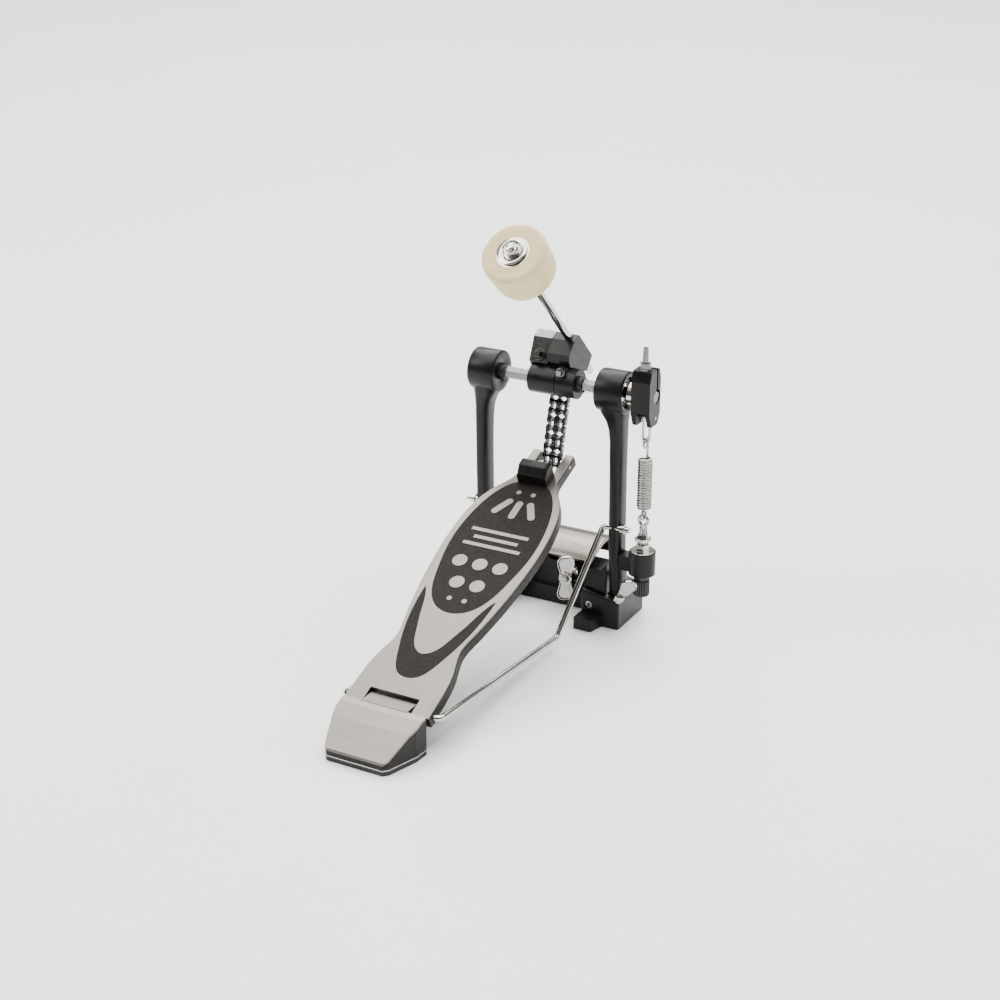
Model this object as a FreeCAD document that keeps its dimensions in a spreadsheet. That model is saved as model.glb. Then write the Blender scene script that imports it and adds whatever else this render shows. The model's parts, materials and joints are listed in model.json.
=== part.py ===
"""Bass drum pedal: footboard on a heel hinge, double chain, cam, felt beater, return spring and hoop clamp.

Millimetres. +X is the spring side, +Y points at the drum and +Z is up. The origin is on the floor under
the middle of the base. Every sub-part is drawn with Y counted from the axle's line, and its own Placement
then carries it to axle_y, so the numbers below read the same along the whole pedal.
"""
import FreeCAD, Part
import math
import os
import re
import Sketcher
from FreeCAD import Placement, Rotation, Vector

os.makedirs("parts", exist_ok=True)
doc = FreeCAD.newDocument("BassDrumPedal")

# ---------------------------------------------------------------- driving dimensions
SIZES = {
    "axle_y": -26, "axle_z": 177.6, "hex_flats": 8.0, "journal_r": 3.97,
    "post_x": 53.5, "post_width": 10.5, "post_front": -2.5, "post_back": 13, "post_foot": 20,
    "post_middle": 5.5, "housing_r": 15, "housing_in": 39.5, "housing_out": 60,
    "bearing_in": 48, "bearing_wide": 7, "race_bore": 4.0, "race_out": 11, "ball_r": 1.55, "ball_ring": 7.5,
    "foot_in": 30.5, "foot_out": 60.6, "foot_front": -9.1, "foot_back": 34, "lug_front": -21.5,
    "bar_front": 10.7, "bar_back": 41, "lip_back": 63, "pad_step": 0.6,
    "hub_left": -14, "hub_right": 22, "hub_split": 7, "hub_r": 10.5,
    "shaft_tilt": 46, "shaft_x": 10, "shaft_off": 26.3, "shaft_r": 2.75, "shaft_low": -33, "shaft_top": 138,
    "felt_r": 22.4, "felt_low": 103, "felt_top": 131,
    "chain_x": 1.7, "chain_links": 12, "pin_r": 1.15, "roller_r": 1.65, "cam_pin_r": 0.9,
    "lip_radius": 20.5, "lip_angle": 33.2, "lip_play": 0.86, "plate_thick": 0.8,
    "cheek_gap": 7.8, "cheek_wide": 1.8, "seat_in": 9.2, "seat_out": 11.3, "clamp_tilt": 20.4,
    "board_slope": 22.85, "board_y": -224, "board_z": 25, "board_long": 248.8, "board_thick": 8.5,
    "tread_thick": 1.6, "toe_pin_l": 240, "toe_pin_drop": 3.5,
    "hinge_l": 5, "hinge_drop": 4.8, "hinge_r": 4.8, "rod_r": 2.2,
    "rod_x": 35.7, "rod_low_y": -57, "rod_low_z": 9.5, "rod_high_y": -4, "rod_high_z": 77.5,
    "rocker_in": 67, "rocker_out": 81, "rocker_pin_y": 0, "rocker_pin_z": -15,
    "spring_x": 74, "spring_y": 0, "wire_r": 0.95, "coil_r": 4.35, "coil_low": 94, "coil_high": 132.8,
    "eye_z": 85.5, "eye_r": 3.4, "eye_wire": 1.2, "hook_r": 3.2, "link_low": 144.5, "link_wire": 1.0,
    "lug_r": 9.5, "lug_low": 45, "lug_high": 62,
    "wing_x": 12, "wing_z": 26, "jaw_pin_y": 24, "jaw_pin_z": 36,
    "spur_x": 58, "spur_y": -6.2, "spur_z": 22, "spur_out": 33, "spur_r": 2.4, "spur_ahead": 18,
}
sheet = doc.addObject("Spreadsheet::Sheet", "Sizes")
for row, (alias, value) in enumerate(SIZES.items(), 1):
    sheet.set("A%d" % row, alias)
    sheet.set("B%d" % row, str(value))
    sheet.setAlias("B%d" % row, alias)
doc.recompute()

WORD = re.compile(r"\b[a-z][a-z_]*[a-z]\b")
SUB_PARTS = []


def size(alias):
    """The sheet's value of one driving dimension."""
    return float(sheet.get(alias))


def formula(text):
    """Point every alias of a formula at the sheet."""
    return WORD.sub(lambda word: "Sizes." + word.group() if word.group() in SIZES else word.group(),
                    str(text))


def bind(thing, prop, text):
    thing.setExpression(prop, formula(text))


def place(thing, corner, turn=None):
    """Give a thing a turn and bind its three coordinates."""
    thing.Placement = Placement(Vector(), turn or Rotation())
    for axis, text in zip("xyz", corner):
        bind(thing, ".Placement.Base." + axis, text)
    return thing


# ---------------------------------------------------------------- solids
TOWARDS = {"X": Rotation(Vector(0, 0, 1), Vector(1, 0, 0)), "Y": Rotation(Vector(0, 0, 1), Vector(0, 1, 0)),
           "Z": Rotation()}


def block(x, y, z):
    """Box between the low and high formula of each axis."""
    solid = doc.addObject("Part::Box", "Block")
    for prop, (low, high) in zip(("Length", "Width", "Height"), (x, y, z)):
        bind(solid, prop, "(%s) - (%s)" % (high, low))
    return place(solid, (x[0], y[0], z[0]))


def rod(radius, along, low, high, middle):
    """Cylinder along one axis from low to high; middle holds its two other coordinates in X, Y, Z order."""
    solid = doc.addObject("Part::Cylinder", "Rod")
    bind(solid, "Radius", radius)
    bind(solid, "Height", "(%s) - (%s)" % (high, low))
    corner = list(middle)
    corner.insert("XYZ".index(along), low)
    return place(solid, corner, TOWARDS[along])


def tube(outer, inner, along, low, high, middle):
    """Ring or bush."""
    return cut(rod(outer, along, low, high, middle),
               rod(inner, along, "(%s) - 1" % low, "(%s) + 1" % high, middle))


def cone(low_radius, high_radius, along, low, high, middle):
    solid = doc.addObject("Part::Cone", "Cone")
    bind(solid, "Radius1", low_radius)
    bind(solid, "Radius2", high_radius)
    bind(solid, "Height", "(%s) - (%s)" % (high, low))
    corner = list(middle)
    corner.insert("XYZ".index(along), low)
    return place(solid, corner, TOWARDS[along])


def ball(radius, middle):
    solid = doc.addObject("Part::Sphere", "Ball")
    bind(solid, "Radius", radius)
    return place(solid, middle)


def ring(major, minor, across, middle):
    """Torus whose hole runs along the axis called across."""
    solid = doc.addObject("Part::Torus", "Ring")
    bind(solid, "Radius1", major)
    bind(solid, "Radius2", minor)
    return place(solid, middle, TOWARDS[across])


def hexagon(flats, along, low, high, middle):
    """Six-sided bar given by its size across flats."""
    solid = doc.addObject("Part::Prism", "Hexagon")
    bind(solid, "Circumradius", "(%s) / sqrt(3)" % flats)
    bind(solid, "Height", "(%s) - (%s)" % (high, low))
    corner = list(middle)
    corner.insert("XYZ".index(along), low)
    return place(solid, corner, TOWARDS[along])


def cut(base, *tools):
    for tool in tools:
        result = doc.addObject("Part::Cut", "Cut")
        result.Base, result.Tool = base, tool
        base = result
    return base


def fuse(*solids):
    result = doc.addObject("Part::MultiFuse", "Fuse")
    result.Shapes = list(solids)
    result.Refine = True
    return result


def common(base, tool):
    result = doc.addObject("Part::Common", "Common")
    result.Base, result.Tool = base, tool
    return result


def group(*solids):
    """Several separate solids of one node, such as identical fasteners."""
    result = doc.addObject("Part::Compound", "Group")
    result.Links = list(solids)
    return result


def mirrored(solid):
    """The same solid on the other side of the pedal's middle plane."""
    result = doc.addObject("Part::Mirroring", "Mirror")
    result.Source = solid
    result.Normal = Vector(1, 0, 0)
    return result


def carried(solid, corner, turn=None):
    """A copy of a solid at another place."""
    result = doc.addObject("Part::Compound", "Carried")
    result.Links = [solid]
    return place(result, corner, turn)


def leaned(solid):
    """A solid drawn with +Z along the beater shaft, carried into the axle's frame."""
    return carried(solid, (0, 0, 0), Rotation(Vector(1, 0, 0), size("shaft_tilt")))


def rounded(solid, radius, wanted):
    """Fillet the edges whose straight direction and middle the test accepts."""
    doc.recompute()
    edges = [(number, radius, radius) for number, edge in enumerate(solid.Shape.Edges, 1)
             if edge.Length > 1.5 * radius and wanted(edge)]
    result = doc.addObject("Part::Fillet", "Round")
    result.Base = solid
    result.Edges = edges
    return result


def runs_along(axis):
    """A test for straight edges along one axis."""
    def test(edge):
        if edge.Curve.TypeId != "Part::GeomLine":
            return False
        return abs(getattr(edge.Curve.Direction, axis)) > 0.99
    return test


# ---------------------------------------------------------------- sketched bodies
PLANES = {"XY": "XY_Plane", "XZ": "XZ_Plane", "YZ": "YZ_Plane"}


def sketch_in(body, plane, shift="0"):
    """A sketch on one of the body's own origin planes, moved along that plane's normal."""
    sketch = body.newObject("Sketcher::SketchObject", "Sketch")
    face = next(item for item in body.Origin.OriginFeatures if item.Role == PLANES[plane])
    sketch.AttachmentSupport = [(face, "")]
    sketch.MapMode = "FlatFace"
    bind(sketch, ".AttachmentOffset.Base.z", shift)
    return sketch


def polygon(sketch, corners):
    """Closed straight outline; each corner's two coordinates are formulas held by constraints."""
    count = len(corners)
    spots = [Vector(2.0 * math.cos(math.tau * step / count), 2.0 * math.sin(math.tau * step / count), 0)
             for step in range(count)]
    first = sketch.GeometryCount
    for step in range(count):
        sketch.addGeometry(Part.LineSegment(spots[step], spots[(step + 1) % count]), False)
    for step in range(count):
        follower = first + (step + 1) % count
        sketch.addConstraint(Sketcher.Constraint("Coincident", first + step, 2, follower, 1))
    for step, corner in enumerate(corners):
        for kind, text in zip(("DistanceX", "DistanceY"), corner):
            number = sketch.addConstraint(Sketcher.Constraint(kind, -1, 1, first + step, 1, 1.0))
            bind(sketch, "Constraints[%d]" % number, text)


def closed_curve(sketch, *stretches):
    """Closed outline of smooth curves; each stretch is the list of points one curve passes through."""
    first = sketch.GeometryCount
    for points in stretches:
        spots = [Vector(x, y, 0) for x, y in points]
        if len(spots) == 2:
            sketch.addGeometry(Part.LineSegment(*spots), False)
        else:
            curve = Part.BSplineCurve()
            curve.interpolate(spots)
            sketch.addGeometry(curve, False)
    count = len(stretches)
    for step in range(count):
        sketch.addConstraint(Sketcher.Constraint("Coincident", first + step, 2, first + (step + 1) % count,
                                                 1))


def pad(body, sketch, length, reverse=False):
    feature = body.newObject("PartDesign::Pad", "Pad")
    feature.Profile = sketch
    bind(feature, "Length", length)
    feature.Reversed = reverse
    return feature


def prism(plane, corners, low, high):
    """Body padded from a polygon between two places on the plane's normal axis."""
    body = doc.addObject("PartDesign::Body", "Body")
    backwards = plane == "XZ"
    sketch = sketch_in(body, plane, "-(%s)" % high if backwards else low)
    polygon(sketch, corners)
    pad(body, sketch, "(%s) - (%s)" % (high, low))
    return body


def curved_plate(stretches, low, high):
    """Body padded from a smooth outline in the XY plane."""
    body = doc.addObject("PartDesign::Body", "Body")
    sketch = sketch_in(body, "XY", low)
    closed_curve(sketch, *stretches)
    pad(body, sketch, "(%s) - (%s)" % (high, low))
    return body


# ---------------------------------------------------------------- bent wire
def wire_path(points, bend):
    """Straight runs through the points, with a tangent arc of the given radius at every inner corner."""
    edges = []
    start = points[0]
    for before, corner, after in zip(points, points[1:], points[2:]):
        back = (before - corner).normalize()
        ahead = (after - corner).normalize()
        half = back.getAngle(ahead) / 2
        reach = bend / math.tan(half)
        middle = corner + (back + ahead).normalize() * (bend / math.sin(half) - bend)
        entry = corner + back * reach
        leave = corner + ahead * reach
        edges += [Part.LineSegment(start, entry).toShape(), Part.Arc(entry, middle, leave).toShape()]
        start = leave
    edges.append(Part.LineSegment(start, points[-1]).toShape())
    return Part.Wire(edges)


def bent_wire(points, radius, bend):
    """Round wire along a bent path; neither primitives nor a flat sketch can hold this route."""
    path = wire_path(points, bend)
    ahead = points[1] - points[0]
    profile = Part.Wire([Part.makeCircle(radius, points[0], ahead)])
    result = doc.addObject("Part::Feature", "Wire")
    result.Shape = path.makePipeShell([profile], True, True)
    return result


def sub_part(name, solid, frame="axle"):
    """Name a finished sub-part and carry it from its drawing frame into the pedal."""
    if frame == "floor":
        spot, turn = ("0", "axle_y", "0"), Rotation()
    elif frame == "axle":
        spot, turn = ("0", "axle_y", "axle_z"), Rotation()
    elif frame == "shaft":
        spot, turn = ("0", "axle_y", "axle_z"), Rotation(Vector(1, 0, 0), size("shaft_tilt"))
    else:
        spot, turn = ("0", "axle_y + board_y", "board_z"), Rotation(Vector(1, 0, 0), size("board_slope"))
    if solid.TypeId != "PartDesign::Body" or solid.Placement != Placement():
        holder = doc.addObject("Part::Compound", "Holder")
        holder.Links = [solid]
        solid = holder
    place(solid, spot, turn)
    solid.Label = name
    SUB_PARTS.append(solid)
    return solid


# ---------------------------------------------------------------- base
def base_casting():
    """Cross bar, two feet with front lugs, and the lip that goes under the drum's hoop."""
    low = "pad_step"
    bar = block(("-foot_in - 6", "foot_in + 6"), ("bar_front", "bar_back"), (low, 13))
    upper = prism("YZ", [(14, 12), (36, 12), (36, 30), (31, 35), (14, 33)], "-foot_in - 6", "foot_in + 6")
    lip = block((-27, 27), ("bar_back - 8", "lip_back"), (8, 13))
    foot = rounded(prism("XZ", [("foot_in", low), ("foot_out", low), ("foot_out", 21.5), ("foot_in", 27)],
                         "foot_front", "foot_back"), 1.5, lambda edge: edge.CenterOfMass.z > 2)
    lug = rounded(prism("XY", [("foot_in", "lug_front"), (44.7, "lug_front"), (48, "foot_front + 1"),
                               ("foot_in", "foot_front + 1")], low, 9), 1.2, runs_along("z"))
    casting = fuse(bar, upper, lip, foot, lug, mirrored(foot), mirrored(lug))
    for side in (1, -1):
        socket = block(("%d * post_x - post_width / 2" % side, "%d * post_x + post_width / 2" % side),
                       ("post_front", "post_back"), ("post_foot", 40))
        spur = spur_placed(fuse(rod("spur_r + 0.08", "Z", -60, 10, (0, 0)),
                                rod(3.9, "Z", 0.6, 10, (0, 0))), side)
        screw = rod(3.0, "Y", "foot_front - 1", "foot_front + 9", ("%d * 36.5" % side, 15))
        bolt = rod(2.1, "Z", -1, 25, ("%d * post_x" % side, "post_middle"))
        head = rod(4.2, "Z", -1, 5, ("%d * post_x" % side, "post_middle"))
        casting = cut(casting, socket, spur, screw, bolt, head)
    casting = cut(casting, block(("wing_x - 6", "wing_x + 6"), (20, 42), (17.5, 40)),
                  rod(3.1, "Y", 10, 25, ("wing_x", "wing_z")),
                  block((-9.3, 9.3), ("jaw_pin_y - 6.5", 40), (26.2, 40)),
                  rod(2.05, "X", -24, 24, ("jaw_pin_y", "jaw_pin_z - 4.5")))
    sub_part("base_casting", casting, "floor")


def base_pads():
    """Rubber pads that the base stands on: one under the bar and one under each foot."""
    middle = block((-26, 26), (14, 38), (0, "pad_step"))
    feet = [block(("%d * 46 - 12" % side, "%d * 46 + 12" % side), (10, 32), (0, "pad_step"))
            for side in (1, -1)]
    sub_part("base_pads", group(middle, *feet), "floor")


def posts():
    """Upright with its bearing housing, bored from the outer side for the ball bearing."""
    low, high = "post_x - post_width / 2", "post_x + post_width / 2"
    foot = "post_foot - axle_z"
    column = prism("YZ", [("post_front", foot), ("post_back", foot), ("post_back", "32 - axle_z"),
                          (8.5, "62 - axle_z"), (7.5, -40), (10.5, -4), (-10.5, -4), (-7.5, -40),
                          (-6.2, "62 - axle_z"), ("post_front", "38 - axle_z")], low, high)
    column = rounded(column, 2.2,
                     lambda edge: abs(edge.CenterOfMass.z) > 30 and abs(edge.tangentAt(0).z) > 0.9)
    housing = rod("housing_r", "X", "housing_in", "housing_out", (0, 0))
    web = prism("XZ", [("housing_in + 1", -8), ("post_x", -8), ("post_x", -34),
                       ("post_x - post_width / 2", -32),
                       ("post_x - post_width / 2 - 2", -24), ("housing_in + 1", -14)], -4, 4)
    rod_hole = rod("rod_r + 0.1", "X", 40, 70, ("rod_high_y", "rod_high_z - axle_z"))
    post = cut(fuse(column, housing, web), rod(5.9, "X", 30, 70, (0, 0)),
               rod("race_out + 0.02", "X", "bearing_in", 70, (0, 0)), rod_hole)
    thread = rod(2.02, "Z", "10 - axle_z", "36 - axle_z", ("post_x", "post_middle"))
    post = cut(post, thread)
    sub_part("right_post", post)
    sub_part("left_post", mirrored(post))


def post_bolts():
    """Socket bolts driven up into each post from under the foot."""
    middle = ("post_x", "post_middle")
    bolt = fuse(rod(2.0, "Z", 3, 34, middle), rod(4.0, "Z", 1.2, 4.8, middle))
    bolt = cut(bolt, hexagon(3, "Z", 0, 3, middle))
    sub_part("post_bolts", group(bolt, mirrored(bolt)), "floor")


def side_plates():
    """Bright steel gusset between each foot and its post."""
    edge = "post_x - post_width / 2"
    plate = prism("XZ", [("foot_in", 27), (edge, 23.8), (edge + " - 0.4", 47)], -5, -3)
    sub_part("side_plates", group(plate, mirrored(plate)), "floor")


def lug_screws():
    """Socket set screw in the face above each front lug."""
    screw = cut(rod(2.95, "Y", "foot_front + 1.2", "foot_front + 9", (36.5, 15)),
                hexagon(2.6, "Y", "foot_front", "foot_front + 4", (36.5, 15)))
    sub_part("lug_screws", group(screw, mirrored(screw)), "floor")


def spur_placed(solid, side):
    """Lean a solid drawn upright at the origin along the thumb screw's axis on one side of the base."""
    out, ahead = size("spur_out"), size("spur_ahead")
    lean = Rotation(Vector(1, 0, 0), ahead) * Rotation(Vector(0, 1, 0), side * out)
    return carried(solid, ("%d * spur_x" % side, "spur_y", "spur_z"), lean)


def spur(side):
    """Thumb screw with a flat head and a pointed tip, leaning outwards through the foot."""
    tip = cone(0.3, "spur_r", "Z", -26.5, -22, (0, 0))
    stem = rod("spur_r", "Z", -22, 1, (0, 0))
    boss = rod(3.6, "Z", 1, 7.5, (0, 0))
    paddle = common(block((-6, 6), (-1.5, 1.5), (5.5, 27.5)), fuse(rod(6.1, "Y", -3, 3, (0, 21.3)),
                    rod(4.6, "Y", -3, 3, (0, 10.5)), block((-5.2, 5.2), (-3, 3), (10, 21))))
    whole = carried(fuse(tip, stem, boss, paddle), (0, 0, 0), Rotation(Vector(0, 0, 1), side * 20))
    sub_part("right_spur_screw" if side > 0 else "left_spur_screw", spur_placed(whole, side), "floor")


def radius_rods():
    """One bent wire on each side from the heel hinge up to a post; the heel hinge pin joins them."""
    heel_y, heel_z = hinge_spot()
    x, high_y, high_z = size("rod_x"), size("rod_high_y"), size("rod_high_z")
    end = size("housing_out") + 5.5
    low_y, low_z = size("rod_low_y"), size("rod_low_z")
    points = [Vector(end, high_y, high_z), Vector(45, high_y, high_z), Vector(x, low_y, low_z),
              Vector(x, heel_y, heel_z), Vector(-x, heel_y, heel_z), Vector(-x, low_y, low_z),
              Vector(-45, high_y, high_z), Vector(-end, high_y, high_z)]
    wire = bent_wire(points, size("rod_r"), 4)
    sub_part("radius_rod", wire, "floor")
    nut = tube(3.3, "rod_r + 0.05", "X", "post_x + post_width / 2 + 0.1", "housing_out + 1.6",
               ("rod_high_y", "rod_high_z"))
    sub_part("rod_end_nuts", group(nut, mirrored(nut)), "floor")


# ---------------------------------------------------------------- axle and bearings
def bearings():
    """A ball bearing in each housing: outer race, inner race, balls and a retaining ring."""
    low, high = "bearing_in", "bearing_in + bearing_wide"
    middle = "bearing_in + bearing_wide / 2"
    outer = cut(tube("race_out", "ball_ring + 1.2", "X", low, high, (0, 0)),
                ring("ball_ring", "ball_r + 0.05", "X", (middle, 0, 0)))
    inner = cut(tube("ball_ring - 1.2", "race_bore", "X", low, high, (0, 0)),
                ring("ball_ring", "ball_r + 0.05", "X", (middle, 0, 0)))
    sub_part("outer_races", group(outer, mirrored(outer)))
    sub_part("inner_races", group(inner, mirrored(inner)))
    balls = []
    for step in range(9):
        angle = math.tau * step / 9
        spot = ("%.6f * ball_ring" % math.cos(angle), "%.6f * ball_ring" % math.sin(angle))
        balls.append(ball("ball_r", (middle,) + spot))
    sub_part("bearing_balls", group(*balls, *[mirrored(item) for item in balls]))
    retainer = tube("race_out", 9.2, "X", high, high + " + 1.2", (0, 0))
    sub_part("retaining_rings", group(retainer, mirrored(retainer)))


def axle():
    """Hexagonal axle turned round where it runs in the bearings."""
    left = rod("journal_r", "X", "-housing_out + 1", "-housing_in + 4", (0, 0))
    middle = hexagon("hex_flats", "X", "-housing_in + 4", "housing_in - 4", (0, 0))
    right = rod("journal_r", "X", "housing_in - 4", "housing_out + 0.8", (0, 0))
    end = hexagon("hex_flats", "X", "housing_out + 0.8", "rocker_out - 0.5", (0, 0))
    sub_part("axle_shaft", fuse(left, middle, right, end))
    collars = [tube(5.4, "journal_r", "X", "housing_in - 4", "bearing_in - 0.1", (0, 0))]
    collars.append(mirrored(collars[0]))
    collars.append(tube(5.8, 4.65, "X", "hub_right + 0.1", "hub_right + 3.6", (0, 0)))
    sub_part("axle_spacers", group(*collars))
    clip = tube(6.4, "journal_r", "X", "bearing_in + bearing_wide + 0.3", "bearing_in + bearing_wide + 1.3",
                (0, 0))
    washer = tube(9.4, "4.65", "X", "housing_out + 2.2", "rocker_in", (0, 0))
    sub_part("axle_rings", group(clip, mirrored(clip), washer))


CLAMP_UNDER = [(7.7, 8.2), (24.1, 14.3), (30.4, 11.7)]


def on_clamp(solid):
    """A solid drawn with +Z out of the clamp plate's front face, carried to the key screw's place."""
    return carried(solid, (-9, 12.3, 12.05), Rotation(Vector(1, 0, 0), size("clamp_tilt")))


def beater_holder():
    """Hub sleeve on the axle with the tall angular block that holds the beater shaft."""
    sleeve = rod("hub_r", "X", "hub_left", "hub_split", (0, 0))
    flank = prism("YZ", [(9, -2), (19, -17), (31, -16), (31, 13.5), (24, 16.6), (12, 17), (9, 14), (7, 8)],
                  8, "shaft_x + 5.5")
    top = prism("YZ", [(8, 3), (31, 4), (31, 13.5), (24, 16.6), (12, 17), (8, 11)], -1.9, "shaft_x + 5.5")
    wing = prism("YZ", [(7, -4), (20, 1), (29, 6)] + CLAMP_UNDER[::-1] + [(6.5, 6)], "hub_left - 2.5", -1.9)
    neck = prism("YZ", [(6, -6), (12, -5), (15, 6), (6.8, 7.5)], "hub_left + 2", "hub_split - 0.5")
    chain_room = cut(block(("chain_x - 10.8", "chain_x + 10.7"), (1.8, 24), (-30, 2.6)),
                     rod("seat_in - 0.25", "X", -30, 30, (0, 0)))
    thread = on_clamp(rod(2.02, "Z", -9.8, 3, (0, 0)))
    shaft_bore = rod("shaft_r + 0.05", "Z", -60, 60, ("shaft_x", "shaft_off"))
    collar_space = rod("hub_r + 0.3", "X", "hub_split", "hub_right + 1", (0, 0))
    rooms = [leaned(room) for room in (chain_room, thread, shaft_bore)]
    body = fuse(sleeve, leaned(fuse(flank, top, wing, neck)))
    bored = cut(body, collar_space, hexagon("hex_flats", "X", -30, 40, (0, 0)), *rooms)
    sub_part("beater_holder", bored)


def shaft_clamp():
    """Bent chrome plate over the holder's sloping front, with the key screw that draws it down."""
    over = [(7.0, 10.1), (24.0, 16.4), (31.1, 13.5)]
    plate = cut(prism("YZ", over + CLAMP_UNDER[::-1], -16.5, -2.2), on_clamp(rod(2.2, "Z", -6, 6, (0, 0))))
    screw = fuse(rod(2.0, "Z", -9.5, 2, (0, 0)), rod(4.2, "Z", 0.1, 1.6, (0, 0)),
                 block((-1.9, 1.9), (-1.9, 1.9), (1.4, 5.4)))
    sub_part("shaft_clamp_plate", plate, "shaft")
    sub_part("clamp_key_screw", on_clamp(screw), "shaft")


def cam():
    """Cam sleeve on the axle with two cheeks that carry the chain's upper pin on the drum side."""
    lip_y, lip_z = lip_spot()
    left = "chain_x - cheek_gap - cheek_wide", "chain_x - cheek_gap"
    right = "chain_x + cheek_gap", "chain_x + cheek_gap + cheek_wide"
    sleeve = rod("hub_r", "X", "hub_split + 0.6", "hub_right", (0, 0))
    cheeks = []
    for low, high in (left, right):
        arm = prism("YZ", [(2.2, 2.2), (2.2, -10.4), (4, -10.4), (19.4, -7.7), (20, -1.4), (7, 2.2)], low,
                    high)
        cheeks += [rod(3.2, "X", low, high, (lip_y, lip_z)), leaned(arm)]
    seat = common(tube("seat_out", "seat_in", "X", left[0], right[0], (0, 0)),
                  leaned(block((-20, 20), (2.2, 20), (-20, 2.2))))
    boss = rod(3.6, "Y", -6.5, -3.2, (11.5, 9.6))
    body = cut(fuse(sleeve, seat, boss, *cheeks), rod("seat_in", "X", -30, "hub_split + 0.6", (0, 0)),
               hexagon("hex_flats", "X", -30, 40, (0, 0)),
               rod("cam_pin_r + 0.02", "X", -20, 20, (lip_y, lip_z)),
               rod(1.9, "Y", -20, -3, (11.5, 9.6)), rod(3.4, "Y", -20, -6.45, (11.5, 9.6)))
    sub_part("cam", body)
    pin = fuse(rod(1.9, "X", left[0] + " - 0.8", left[0], (lip_y, lip_z)),
               rod("cam_pin_r", "X", left[0] + " - 0.1", right[1] + " + 0.1", (lip_y, lip_z)),
               rod(1.9, "X", right[1], right[1] + " + 0.8", (lip_y, lip_z)))
    sub_part("cam_pin", pin)


def rocker():
    """Block clamped on the axle's end; the spring pulls on the pin across its lower slot."""
    low, high = "rocker_in", "rocker_out"
    outline = [(-12, 13), (-9.5, 20.5), (3.5, 20.5), (6, 13), (6, -12), (2, -19.5), (-8, -19.5), (-12, -10)]
    body = rounded(prism("YZ", outline, low, high), 1.2, runs_along("x"))
    pin_y, pin_z = "rocker_pin_y", "rocker_pin_z"
    slot = block(("spring_x - 3.9", "spring_x + 3.9"), (-14, 8), (-22, -9.6))
    window = rod(4.9, "X", "spring_x + 3", "rocker_out + 1", (0, 1))
    crack = block(("spring_x + 2", "rocker_out + 1"), (-1.2, 1.2), (2, 22))
    bored = cut(body, hexagon("hex_flats", "X", 60, 90, (0, 0)), slot, window, crack,
                rod(2.02, "Z", 4, 24, ("spring_x", -5)), rod(1.6, "X", 60, 90, (pin_y, pin_z)))
    sub_part("rocker", bored)
    screw = fuse(rod(2.0, "Z", 8, 32, ("spring_x", -5)), hexagon(3.6, "Z", 31.5, 36, ("spring_x", -5)),
                 hexagon(7, "Z", 21.6, 25.4, ("spring_x", -5)), rod(4.6, "Z", 20.6, 21.6, ("spring_x", -5)))
    hub_screw = fuse(rod(1.88, "Y", -8, -3.1, (11.5, 9.6)), rod(3.2, "Y", -8.6, -6.5, (11.5, 9.6)),
                     block((9.7, 13.3), (-12, -8.4), (7.8, 11.4)))
    sub_part("axle_key_screws", group(screw, hub_screw))
    sub_part("rocker_pin", rod(1.55, "X", "rocker_in + 0.3", "rocker_out - 0.3", (pin_y, pin_z)))


# ---------------------------------------------------------------- beater
def beater():
    """Threaded shaft, felt head, its two washers and the nut."""
    middle = ("shaft_x", "shaft_off")
    shaft = fuse(rod("shaft_r", "Z", "shaft_low + 1", "shaft_top - 1", middle),
                 cone("shaft_r - 0.8", "shaft_r", "Z", "shaft_low", "shaft_low + 1", middle),
                 cone("shaft_r", "shaft_r - 0.8", "Z", "shaft_top - 1", "shaft_top", middle))
    sub_part("beater_shaft", shaft, "shaft")
    felt = cut(fuse(cone("felt_r - 1.4", "felt_r", "Z", "felt_low", "felt_top - 6", middle),
                    rod("felt_r", "Z", "felt_top - 6", "felt_top", middle)),
               rod("shaft_r + 0.02", "Z", "felt_low - 1", "felt_top + 1", middle))
    sub_part("felt_head", felt, "shaft")
    top = tube(11.4, "shaft_r + 0.02", "Z", "felt_top", "felt_top + 1.4", middle)
    under = tube(8.5, "shaft_r + 0.02", "Z", "felt_low - 1.4", "felt_low", middle)
    sub_part("felt_washers", group(top, under), "shaft")
    nut = cut(hexagon(9, "Z", "felt_top + 1.4", "felt_top + 5", middle),
              rod("shaft_r + 0.02", "Z", "felt_top", "felt_top + 7", middle))
    lock = cut(hexagon(9, "Z", "felt_low - 5", "felt_low - 1.4", middle),
               rod("shaft_r + 0.02", "Z", "felt_low - 7", "felt_low", middle))
    sub_part("felt_nuts", group(nut, lock), "shaft")


# ---------------------------------------------------------------- chain
def lip_spot():
    """Middle of the chain's upper pin, in the axle's frame."""
    angle = math.radians(size("lip_angle"))
    return size("lip_radius") * math.cos(angle), size("lip_radius") * math.sin(angle)


def on_board(along, drop):
    """Floor-frame Y and Z of a place on the footboard, drop millimetres under its top face."""
    slope = math.radians(size("board_slope"))
    return (size("board_y") + along * math.cos(slope) + drop * math.sin(slope),
            size("board_z") + along * math.sin(slope) - drop * math.cos(slope))


def hinge_spot():
    return on_board(size("hinge_l"), size("hinge_drop"))


def toe_spot():
    """Middle of the toe pin, in the axle's frame."""
    toe_y, toe_z = on_board(size("toe_pin_l"), size("toe_pin_drop"))
    return toe_y, toe_z - size("axle_z")


def link_plate(low, high, start, pitch, hole):
    """One figure-eight chain plate drawn along +Z from the pin at height start."""
    ends = [rod(2.75, "X", low, high, (0, start)), rod(2.75, "X", low, high, (0, start + pitch))]
    waist = block((low, high), (-2.0, 2.0), (start, start + pitch))
    holes = [rod(hole, "X", low + " - 1", high + " + 1", (0, start + pitch * step)) for step in (0, 1)]
    return cut(fuse(*ends, waist), *holes)


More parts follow.
